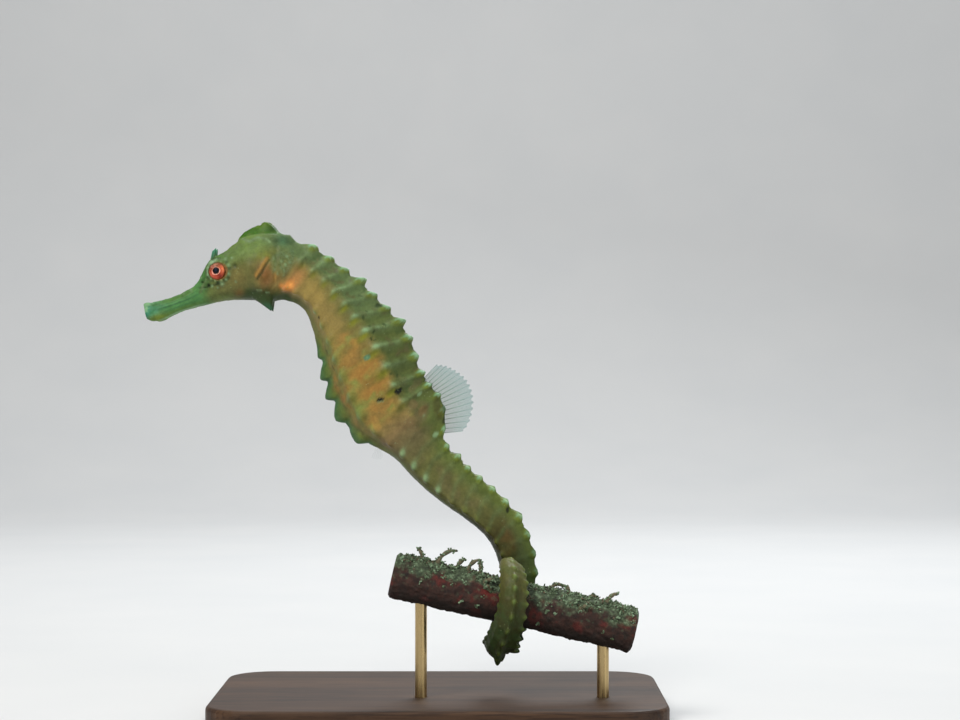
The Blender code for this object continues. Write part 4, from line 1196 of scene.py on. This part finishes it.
def fin_piece(name, feet, tips, normal, node, ray_radius=0.06, scallop=0.07, look=("fin_web", "fin_ray")):
    """A fin: a tapered, jointed ray from each foot to its tip, and a thin clear web between them."""
    feet, tips, normal = np.asarray(feet), np.asarray(tips), unit(np.asarray(normal, float))
    count, across, along = len(feet), 6, 26
    number = np.linspace(0, count - 1, (count - 1) * across + 1)
    foot = np.stack([np.interp(number, np.arange(count), column) for column in feet.T], -1)
    tip = np.stack([np.interp(number, np.arange(count), column) for column in tips.T], -1)
    dip = 1 - scallop * np.sin(np.pi * (number % 1)) ** 2
    share = np.linspace(0, 1, along)

    def surface(row_feet, row_tips, shares):
        grid = row_feet[:, None] + (row_tips - row_feet)[:, None] * shares[..., None]
        return ripple(grid, normal, 0.10, 2.2, 4.0)

    web = surface(foot, tip, share[None] * dip[:, None])
    half = 0.022
    outer, inner = web + half * normal, web - half * normal
    columns, rows = web.shape[:2]
    index = np.arange(columns * rows).reshape(columns, rows)
    quads = np.stack([index[:-1, :-1], index[1:, :-1], index[1:, 1:], index[:-1, 1:]], -1).reshape(-1, 4)
    behind = columns * rows
    other = quads[:, ::-1] + behind
    border = [*index[:, 0], *index[-1, 1:], *index[-2::-1, -1], *index[0, -2:0:-1]]
    rim = [(a, a + behind, b + behind, b) for a, b in zip(border, border[1:] + border[:1])]
    vertices = np.concatenate([outer.reshape(-1, 3), inner.reshape(-1, 3)])
    sheet = add_mesh(f"{name}_web", vertices, [*quads.tolist(), *other.tolist(), *rim])
    depth = np.concatenate([np.tile(share, columns)] * 2)
    add_paint(sheet, np.array(FIN_BASE) * (1 - depth[:, None]) + np.array(FIN_EDGE) * depth[:, None])
    weld(sheet)
    sheet.data.materials.append(MATERIALS[look[0]])
    rays = Bundle()
    for k in range(count):
        shares = np.linspace(0, 0.985, 22)[None]
        line = surface(feet[k : k + 1], tips[k : k + 1], shares)[0]
        joints = 1 + 0.12 * np.cos(math.tau * np.arange(22) / 3)
        vertices, faces = tube(line, ray_radius * (1.05 - 0.7 * shares[0]) * joints, 7)
        tone = np.repeat(shares[0], 7)[:, None]
        rays.add(vertices, faces, np.array(RAY_BASE) * (1 - tone) + np.array(RAY_TIP) * tone)
    spread = rays.make(f"{name}_rays")
    spread.data.materials.append(MATERIALS[look[1]])
    for piece in (sheet, spread):
        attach(piece, "root")
    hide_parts(node)


CLEAR = "clear_web", "clear_ray"
FIN_BASE, FIN_EDGE = (0.12, 0.20, 0.10), (0.08, 0.30, 0.27)
RAY_BASE, RAY_TIP = (0.14, 0.24, 0.10), (0.10, 0.34, 0.30)


def build_dorsal_fin():
    first, last = DORSAL_FIN_BASE
    feet, tips = [], []
    for ray in range(DORSAL_FIN_RAYS):
        share = ray / (DORSAL_FIN_RAYS - 1)
        place = first + (last - first) * share
        depth_back, _, _, section = body_sizes(np.array([place]))
        depth = depth_back[0] * section[0][0][1]
        root = SPINE.point(place, depth - 0.35, 0)
        foot = SPINE.point(place, depth + 0.4, 0)
        _, forward, back, _ = SPINE.frames(place)
        lean = math.radians(min(40, 64 * share - 20))
        length = DORSAL_FIN_HEIGHT * math.sin(math.pi * (0.15 + 0.72 * share)) ** 0.6
        feet.append(root)
        tips.append(foot + 0.985 * length * (math.cos(lean) * back + math.sin(lean) * forward))
    fin_piece("dorsal_fin", feet, tips, (0, 1, 0), "fin_dorsal")


def fan_rays(radius, spread, root, count):
    """Feet and tips of a fan in its own plane, opening along +x."""
    share = np.linspace(-0.5, 0.5, count)
    angle = np.radians(spread * share)
    feet = np.stack([np.full(count, -0.25), 2 * root * share], -1)
    return feet, 0.985 * radius * np.stack([np.cos(angle), np.sin(angle)], -1)


def build_small_fins():
    for side, tag in ((1, "left"), (-1, "right")):
        place, above = 27.6, 1.4
        _, forward, back, left = SPINE.frames(place)
        outward = unit(0.85 * forward + 0.62 * left * side - 0.1 * back)
        upward = unit(back - outward * (back @ outward))
        foot = SPINE.point(place, above, side * (body_sizes(np.array([place]))[2][0] + 0.75))
        feet, tips = fan_rays(3.4, 95, 1.05, 15)
        axes = np.stack([outward, upward])
        # The roots reach back to the flank, from where the solid's fan starts.
        reach = -0.5 * side * left
        feet, tips, normal = foot + feet @ axes + reach, foot + tips @ axes, np.cross(outward, upward)
        fin_piece(f"pectoral_fin_{tag}", feet, tips, normal, f"fin_pectoral_{tag}", 0.035, 0.05, CLEAR)
    place = 67.0
    _, forward, back, left = SPINE.frames(place)
    outward = unit(0.75 * forward - 0.66 * back)
    foot = SPINE.point(place, -body_sizes(np.array([place]))[1][0] - 0.3, 0)
    feet, tips = fan_rays(1.9, 70, 0.45, 6)
    axes = np.stack([outward, np.cross(left, outward)])
    feet, tips = foot + feet @ axes + 0.35 * back, foot + tips @ axes
    fin_piece("anal_fin", feet, tips, left, "fin_anal", 0.04, 0.05, CLEAR)


# The branch


def branch_point(along, angle, radius):
    """A point by its place along the branch, angle from straight up to the camera, and distance out."""
    angle = np.asarray(angle)[..., None]
    outward = np.cos(angle) * SPINE.up + np.sin(angle) * np.array((0, -1, 0))
    return SPINE.hub + np.asarray(along)[..., None] * SPINE.axis + np.asarray(radius)[..., None] * outward


def coil_distance(points):
    """How far each point is from the surface of the tail that holds the branch."""
    places = np.arange(100, 149.6, 0.4)
    centres = SPINE.frames(places)[0]
    thick = np.maximum(body_sizes(places)[0], body_sizes(places)[2]) * 1.05
    gaps = np.linalg.norm(points[:, None] - centres[None], axis=-1) - thick[None]
    return gaps.min(1)


def core_radius(along, angle, points):
    """The crust: knobs and pits, and lumps of turf on the upper side. The tail has pressed it smooth."""
    free = np.clip((np.abs(along) - 4.5) / 3, 0, 1)
    turf = ease(0.1, 0.85, np.cos(angle - 0.1))
    lumps = 0.24 * cloudy(points, 3.2, 3, 2.0) + 0.17 * cloudy(points, 0.9, 3, 6.0)
    growth = (0.14 + 0.40 * np.clip(cloudy(points, 1.3, 3, 8.0) + 0.3, 0, 1)) * turf
    return BRANCH_RADIUS - 0.42 + (lumps + growth) * (0.35 + 0.65 * free)


def crust_paint(s, a, points):
    """Dark red crust under green growth, by place along the branch and angle from straight up."""
    turf = np.clip(ease(0.35, 0.8, np.cos(a - 0.1) + 0.5 * cloudy(points, 2.4, 3, 21.0)), 0, 1)
    lump = cloudy(points, 0.7, 3, 31.0)
    colours = shade(np.array((0.036, 0.013, 0.008)), 0.7 * cloudy(points, 1.4, 3, 15.0))
    lay(colours, (0.085, 0.011, 0.007), ease(0.12, 0.45, cloudy(points, 3.0, 3, 44.0)))
    # A bright patch beside the coil, painted shade on the underside and in hollows, and silt on the upper
    # side.
    patch = np.hypot((s + 4.0) / 1.7, (a - 1.15) * BRANCH_RADIUS / 1.5)
    lay(colours, (0.16, 0.016, 0.010), bump(patch, 1.0))
    painted_shade = np.maximum(ease(-0.2, -0.85, np.cos(a)), ease(0.15, 0.6, cloudy(points, 1.1, 3, 63.0)) * 0.8)
    lay(colours, (0.011, 0.009, 0.007), 0.8 * painted_shade)
    silt = ease(0.25, 0.6, cloudy(points, 0.8, 3, 83.0)) * ease(-0.4, 0.5, np.cos(a))
    lay(colours, TURF_TONES[1], 0.5 * silt)
    growth = shade(np.array((0.062, 0.088, 0.045)), 0.8 * lump)
    lay(growth, TURF_TONES[2], 0.6 * ease(0.15, 0.6, lump))
    return colours * (1 - turf[..., None]) + growth * turf[..., None]


def build_perch():
    """The branch's core, with sawn ends, and the turf on it."""
    sides, rows = 168, 300
    along = np.linspace(PERCH_ENDS[0] + 0.05, PERCH_ENDS[1] - 0.05, rows)
    angle = math.tau * np.arange(sides) / sides
    s, a = np.meshgrid(along, angle, indexing="ij")
    base = branch_point(s, a, np.full(s.shape, BRANCH_RADIUS))
    radius = core_radius(s, a, base)
    edge = np.minimum(s - along[0], along[-1] - s)
    radius = radius - 0.5 * ease(0.5, 0.0, edge)
    points = branch_point(s, a, radius)
    colours = crust_paint(s, a, points)
    index = np.arange(rows * sides).reshape(rows, sides)
    vertices, faces, paint = [points.reshape(-1, 3)], ring_quads(index), [colours.reshape(-1, 3)]
    count = rows * sides
    # Sawn ends: pale growth rings round a darker heart.
    for row, outward in ((0, -1), (rows - 1, 1)):
        previous = index[row]
        for share in (0.86, 0.7, 0.54, 0.38, 0.22, 0.08):
            ring = branch_point(np.full(sides, along[row] + outward * 0.04), angle, radius[row] * share)
            vertices.append(ring)
            grain = 0.85 + 0.25 * math.sin(40 * share)
            paint.append(np.full((sides, 3), 1.0) * np.array((0.20, 0.13, 0.075)) * grain)
            current = np.arange(count, count + sides)
            for k in range(sides):
                j = (k + 1) % sides
                faces.append((previous[k], previous[j], current[j], current[k])[::outward])
            previous, count = current, count + sides
        faces.append(tuple(previous[::outward].tolist()))
    core = add_mesh("branch_core", np.concatenate(vertices), faces)
    add_paint(core, np.concatenate(paint))
    weld(core)
    core.data.materials.append(MATERIALS["branch"])
    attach(core, "root")
    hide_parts("perch")
    build_turf()


def sprig(root, outward, sideways, length, thick, curl, sides=5, steps=7):
    """One frond: a tapered tube that leaves the branch and curls over."""
    share = np.linspace(0, 1, steps)
    bend = curl * share
    step = length / (steps - 1)
    heading = np.cos(bend)[:, None] * outward + np.sin(bend)[:, None] * sideways
    points = root + np.concatenate([[np.zeros(3)], np.cumsum(heading[:-1] * step, axis=0)])
    radii = thick * (1.0 - 0.4 * share) * (1 + 0.22 * np.cos(11 * share + 40 * thick))
    return points, *tube(points, radii, sides)


# Larger fronds that stand out of the turf: place on the branch, angle towards the camera, length, curl.
FRONDS = (
    (-14.2, 0.05, 4.6, 1.5),
    (-17.2, 0.10, 2.6, -1.2),
    (-10.6, 0.10, 2.4, 1.0),
    (-8.6, 0.10, 3.2, 1.2),
    (-6.2, 0.10, 2.6, -0.6),
    (-4.9, 0.75, 2.2, 2.3),
    (-3.9, 1.05, 1.7, -2.4),
    (7.2, -0.05, 2.8, 2.2),
    (10.6, 0.10, 2.2, -1.6),
    (14.6, 0.05, 1.4, 1.9),
    (17.8, 0.10, 2.8, 1.2),
    (13.2, 0.95, 1.8, 2.2),
    (20.9, 0.6, 1.5, -2.0),
)

TURF_TONES = (
    (0.060, 0.088, 0.042),
    (0.108, 0.158, 0.085),
    (0.200, 0.290, 0.175),
    (0.110, 0.083, 0.048),
    (0.036, 0.038, 0.022),
)


class Turf(Bundle):
    """The growth on the branch."""

    def tuft(self, place, turn, reach, count):
        """A clump of fronds and granules round one spot."""
        along = place + rng.normal(0, reach, count)
        angle = turn + rng.normal(0, reach, count) / BRANCH_RADIUS
        along = np.clip(along, PERCH_ENDS[0] + 0.5, PERCH_ENDS[1] - 0.5)
        base = branch_point(along, angle, np.full(count, BRANCH_RADIUS))
        rooted = core_radius(along, angle, base) - 0.12
        roots = branch_point(along, angle, rooted)
        outward = unit(branch_point(along, angle, rooted + 1) - roots)
        middle = np.exp(-((along - place) ** 2 + ((angle - turn) * BRANCH_RADIUS) ** 2) / (2 * reach**2))
        length = (0.20 + 0.55 * rng.random(count) ** 2) * (0.5 + 0.8 * middle)
        clear = coil_distance(roots + outward * 0.5 * length[:, None])
        tone = rng.choice(len(TURF_TONES), p=(0.28, 0.34, 0.2, 0.1, 0.08), size=count)
        for k in range(count):
            spin, lean = rng.uniform(0, math.tau), rng.uniform(0.1, 0.9)
            curl, thick = rng.uniform(0.4, 2.6), rng.uniform(0.10, 0.25)
            if clear[k] < 0.45 * length[k] + 0.2:
                continue
            around = unit(np.cross(outward[k], SPINE.axis))
            sideways = math.cos(spin) * SPINE.axis + math.sin(spin) * around
            start = unit(outward[k] + lean * sideways)
            points, vertices, faces = sprig(roots[k], start, sideways, length[k], thick, curl)
            if coil_distance(points[-2:]).min() > 0.2:
                # Each sprig is painted darker at its root and lighter at its tip: painted shade low in the
                # turf.
                rise = np.repeat(np.linspace(0.55, 1.3, 7), 5)[:, None]
                self.add(vertices, faces, np.array(TURF_TONES[tone[k]]) * rise)

    def frond(self, place, turn, long, bend):
        """A stout curled frond, knobbly with side twigs."""
        root = branch_point(np.array(place), np.array(turn), np.array(BRANCH_RADIUS - 0.4))
        outward = unit(branch_point(np.array(place), np.array(turn), np.array(9.0)) - root)
        sideways = math.copysign(1, bend) * SPINE.axis
        points, vertices, faces = sprig(root, outward, sideways, long, 0.46, abs(bend), 10, 22)
        if coil_distance(points).min() < 0.45:
            return
        self.add(vertices, faces, np.array((0.135, 0.118, 0.066)))
        for k in range(2, 22):
            away = unit(rng.normal(size=3))
            length = 0.28 + 0.3 * rng.random()
            _, vertices, faces = sprig(points[k], unit(away + 0.4 * outward), away, length, 0.24, 1.0)
            self.add(vertices, faces, np.array(TURF_TONES[int(rng.integers(0, 3))]))


def build_turf():
    """Clumps of small curled fronds on the upper side, thinner to the front, with a few stout ones."""
    turf = Turf()
    for place in np.arange(PERCH_ENDS[0] + 1.0, PERCH_ENDS[1] - 0.6, 0.85):
        for turn, count in ((-0.75, 9), (-0.3, 12), (0.08, 16), (0.42, 13)):
            if rng.random() < 0.88:
                spot = place + rng.normal(0, 0.35), turn + rng.normal(0, 0.10)
                turf.tuft(*spot, rng.uniform(0.25, 0.6), count)
        if rng.random() < 0.5:
            turf.tuft(place, rng.uniform(0.6, 1.15), rng.uniform(0.2, 0.45), 9)
        if rng.random() < 0.22:
            turf.tuft(place, rng.uniform(1.2, 2.4), 0.2, 4)
    for row in FRONDS:
        turf.frond(*row)
    made = turf.make("branch_turf")
    made.data.materials.append(MATERIALS["turf"])
    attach(made, "root")


# Materials


class Shader:
    """A Principled material and short ways to wire nodes to it."""

    def __init__(self, name, roughness=0.5, **sockets):
        self.material = bpy.data.materials.new(name)
        self.material.use_nodes = True
        self.nodes = self.material.node_tree.nodes
        self.links = self.material.node_tree.links
        self.bsdf = self.nodes["Principled BSDF"]
        self.bsdf.inputs["Roughness"].default_value = roughness
        for socket, value in sockets.items():
            self.bsdf.inputs[socket.replace("_", " ")].default_value = value

    def node(self, kind, **values):
        made = self.nodes.new(kind)
        for key, value in values.items():
            if hasattr(made, key):
                setattr(made, key, value)
            else:
                made.inputs[key.replace("_", " ")].default_value = value
        return made

    def link(self, source, output, target, socket):
        self.links.new(source.outputs[output], target.inputs[socket])

    def coordinates(self, stretch=(1, 1, 1)):
        """The object's own coordinates in millimetres, stretched if asked."""
        source = self.node("ShaderNodeTexCoord")
        scaled = self.node("ShaderNodeMapping")
        scaled.inputs["Scale"].default_value = [1000 * x for x in stretch]
        self.link(source, "Object", scaled, "Vector")
        return scaled

    def noise(self, where, scale, detail=3.0, rough=0.55, warp=0.0):
        sockets = {"Scale": scale, "Detail": detail, "Roughness": rough, "Distortion": warp}
        made = self.node("ShaderNodeTexNoise", **sockets)
        self.link(where, "Vector", made, "Vector")
        return made

    def mapped(self, source, output, low, high, to_low, to_high):
        made = self.node("ShaderNodeMapRange")
        ends = {"From Min": low, "From Max": high, "To Min": to_low, "To Max": to_high}
        for socket, value in ends.items():
            made.inputs[socket].default_value = value
        self.link(source, output, made, "Value")
        return made

    def mix(self, kind, factor, first, second):
        """A colour mix. factor, first and second are (node, output) pairs, or plain values."""
        made = self.node("ShaderNodeMix", data_type="RGBA", blend_type=kind)
        for socket, value in ((0, factor), (6, first), (7, second)):
            if isinstance(value, tuple) and len(value) == 2 and hasattr(value[0], "outputs"):
                self.links.new(value[0].outputs[value[1]], made.inputs[socket])
            elif isinstance(value, tuple):
                made.inputs[socket].default_value = (*value, 1)
            else:
                made.inputs[socket].default_value = value
        return made

    def bump(self, source, output, strength, distance):
        made = self.node("ShaderNodeBump", Strength=strength, Distance=distance * MM)
        self.link(source, output, made, "Height")
        self.link(made, "Normal", self.bsdf, "Normal")

    def base_colour(self, mixed):
        self.links.new(mixed.outputs[2], self.bsdf.inputs["Base Color"])

    def dots(self, where, pattern_scale, edge, patches, kept, most):
        """A mask of scattered dots: the cores of a cell pattern, kept only where soft noise is high."""
        cells = self.node("ShaderNodeTexVoronoi", Scale=pattern_scale)
        self.link(where, "Vector", cells, "Vector")
        core = self.mapped(cells, "Distance", *edge, 1.0, 0.0)
        patchy = self.mapped(self.noise(where, *patches), "Fac", *kept, 0.0, most)
        mask = self.node("ShaderNodeMath", operation="MULTIPLY")
        self.link(core, "Result", mask, 0)
        self.link(patchy, "Result", mask, 1)
        return mask, 0


def painted(name, roughness, grain, depth, spread, **sockets):
    """A material that takes its colour from the mesh's paint, broken up by grain of the given size."""
    shader = Shader(name, roughness, **sockets)
    paint = shader.node("ShaderNodeAttribute", attribute_name="paint")
    where = shader.coordinates()
    fine = shader.noise(where, 1 / grain, 4.0, 0.6)
    tone = shader.mapped(fine, "Fac", 0.3, 0.7, 1 - spread, 1 + spread)
    colour = shader.mix("MULTIPLY", 1.0, (paint, "Color"), (tone, "Result"))
    shader.base_colour(colour)
    shader.bump(fine, "Fac", 0.6, depth)
    return shader, colour, where, fine


def skin_material():
    shader, colour, where, fine = painted(
        "skin", 0.5, 0.40, 0.04, 0.11, Subsurface_Weight=0.12, Subsurface_Scale=0.7 * MM,
        Specular_IOR_Level=0.14, Coat_Weight=0.02, Coat_Roughness=0.3,
    )
    shader.bsdf.inputs["Subsurface Radius"].default_value = (1.0, 0.55, 0.3)
    # Pale granules and dark pores scattered over the skin.
    granules = shader.dots(where, 1.7, (0.10, 0.24), (0.35, 2.0), (0.55, 0.68), 0.55)
    pores = shader.dots(where, 2.6, (0.06, 0.16), (0.5, 2.0, 0.5, 0.4), (0.58, 0.66), 0.6)
    pale = shader.mix("MIX", granules, (colour, 2), (0.30, 0.38, 0.18))
    shader.base_colour(shader.mix("MIX", pores, (pale, 2), (0.02, 0.025, 0.01)))
    rough = shader.mapped(fine, "Fac", 0.3, 0.7, 0.40, 0.58)
    shader.link(rough, "Result", shader.bsdf, "Roughness")
    return shader.material


def wood_material():
    shader = Shader("stand_wood", 0.55, Specular_IOR_Level=0.3)
    where = shader.coordinates((0.012, 0.16, 0.16))
    grain = shader.noise(where, 1.0, 6.0, 0.6, 1.2)
    pores = shader.noise(shader.coordinates((0.12, 2.4, 2.4)), 1.0, 3.0, 0.6)
    band = shader.mapped(grain, "Fac", 0.35, 0.65, 0.0, 1.0)
    fleck = shader.mapped(pores, "Fac", 0.5, 0.62, 0.0, 0.7)
    colour = shader.mix("MIX", (band, "Result"), (0.030, 0.014, 0.007), (0.085, 0.042, 0.020))
    shader.base_colour(shader.mix("MULTIPLY", (fleck, "Result"), (colour, 2), (0.35, 0.3, 0.28)))
    shader.bump(pores, "Fac", 0.25, 0.06)
    return shader.material


def brass_material():
    shader = Shader("stand_brass", 0.3, Metallic=1.0)
    where = shader.coordinates((1.5, 1.5, 0.12))
    brushed = shader.noise(where, 2.0, 4.0, 0.6)
    colour = shader.mix("MIX", (brushed, "Fac"), (0.42, 0.29, 0.12), (0.66, 0.50, 0.26))
    shader.base_colour(colour)
    rough = shader.mapped(brushed, "Fac", 0.3, 0.7, 0.2, 0.38)
    shader.link(rough, "Result", shader.bsdf, "Roughness")
    shader.bump(brushed, "Fac", 0.15, 0.02)
    return shader.material


def floor_material():
    shader = Shader("floor", 0.7)
    where = shader.coordinates()
    soft = shader.noise(where, 0.02, 2.0)
    colour = shader.mix("MIX", (soft, "Fac"), (0.66, 0.67, 0.68), (0.72, 0.72, 0.72))
    shader.base_colour(colour)
    return shader.material


def make_materials():
    made = {
        "skin": skin_material(),
        "stand_wood": wood_material(),
        "stand_brass": brass_material(),
        "floor": floor_material(),
    }
    wet = {"Coat_Weight": 0.12, "Coat_Roughness": 0.04, "Specular_IOR_Level": 0.25}
    for name, roughness, grain, depth, spread, sockets in (
        ("eye", 0.3, 0.12, 0.006, 0.10, wet),
        ("fin_web", 0.4, 0.25, 0.01, 0.15, {"Alpha": 0.24}),
        ("fin_ray", 0.4, 0.2, 0.01, 0.15, {"Alpha": 0.6}),
        ("clear_web", 0.4, 0.25, 0.01, 0.15, {"Alpha": 0.022}),
        ("clear_ray", 0.4, 0.2, 0.01, 0.15, {"Alpha": 0.06}),
        ("branch", 0.82, 0.22, 0.16, 0.42, {}),
        ("turf", 0.75, 0.15, 0.04, 0.35, {}),
    ):
        made[name] = painted(name, roughness, grain, depth, spread, **sockets)[0].material
    return made


# Stage


def build_stage():
    """A pale floor that sweeps up behind, a camera, and soft lights."""
    depth, rise, radius = 0.55, 1.1, 0.35
    profile = [(-1.2, 0.0), (depth, 0.0)]
    bend = np.linspace(0.1, math.pi / 2, 14)
    profile += [(depth + radius * math.sin(a), radius - radius * math.cos(a)) for a in bend]
    profile.append((depth + radius, rise))
    vertices = [(x / MM, y / MM, z / MM) for x in (-1.6, 1.6) for y, z in profile]
    count = len(profile)
    faces = [(k, k + count, k + count + 1, k + 1) for k in range(count - 1)]
    floor = add_mesh("floor", vertices, faces)
    floor.data.materials.append(MATERIALS["floor"])

    lens = bpy.data.cameras.new("camera")
    lens.lens = CAMERA_LENS
    lens.clip_start = 0.01
    camera = bpy.data.objects.new("camera", lens)
    camera.location = CAMERA_PLACE
    camera.rotation_euler = (math.pi / 2, 0, 0)
    bpy.context.scene.collection.objects.link(camera)
    bpy.context.scene.camera = camera

    area_light("key", (-0.28, -0.42, 0.55), 0.30, 3.6, (1.0, 0.97, 0.92))
    area_light("fill", (0.50, -0.40, 0.22), 0.5, 0.9, (0.97, 1.0, 0.98))
    area_light("rim", (0.15, 0.40, 0.50), 0.3, 2.0, (0.95, 0.98, 1.0))
    area_light("backdrop", (0.0, 0.30, 0.95), 0.5, 3.0, (1.0, 1.0, 1.0), (0.0, 0.85, 0.15))
    world = bpy.data.worlds.new("world")
    world.use_nodes = True
    world.node_tree.nodes["Background"].inputs["Color"].default_value = (0.93, 0.98, 1.0, 1)
    world.node_tree.nodes["Background"].inputs["Strength"].default_value = 0.22
    bpy.context.scene.world = world
    bpy.context.scene.view_settings.view_transform = "Standard"


def area_light(name, place, size, power, colour, towards=(0.005, 0, 0.055)):
    lamp = bpy.data.lights.new(name, "AREA")
    lamp.shape = "DISK"
    lamp.size = size
    lamp.energy = power
    lamp.color = colour
    made = bpy.data.objects.new(name, lamp)
    made.location = place
    made.rotation_euler = (Vector(towards) - Vector(place)).to_track_quat("-Z", "Y").to_euler()
    bpy.context.scene.collection.objects.link(made)


def finish_stand():
    for name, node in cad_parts.items():
        if name.startswith("stand_"):
            node.data.materials.clear()
            node.data.materials.append(MATERIALS["stand_wood" if name == "stand_base" else "stand_brass"])


MATERIALS = make_materials()
body = build_skin()
body.data.materials.append(MATERIALS["skin"])
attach(body, "root")
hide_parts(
    "snout", "head", "coronet", "neck", "trunk_upper", "trunk_lower",
    "tail_1", "tail_2", "tail_3", "tail_4", "tail_5", "tail_tip",
)
build_eye(1, "left")
build_eye(-1, "right")
build_dorsal_fin()
build_small_fins()
build_perch()
finish_stand()
build_stage()
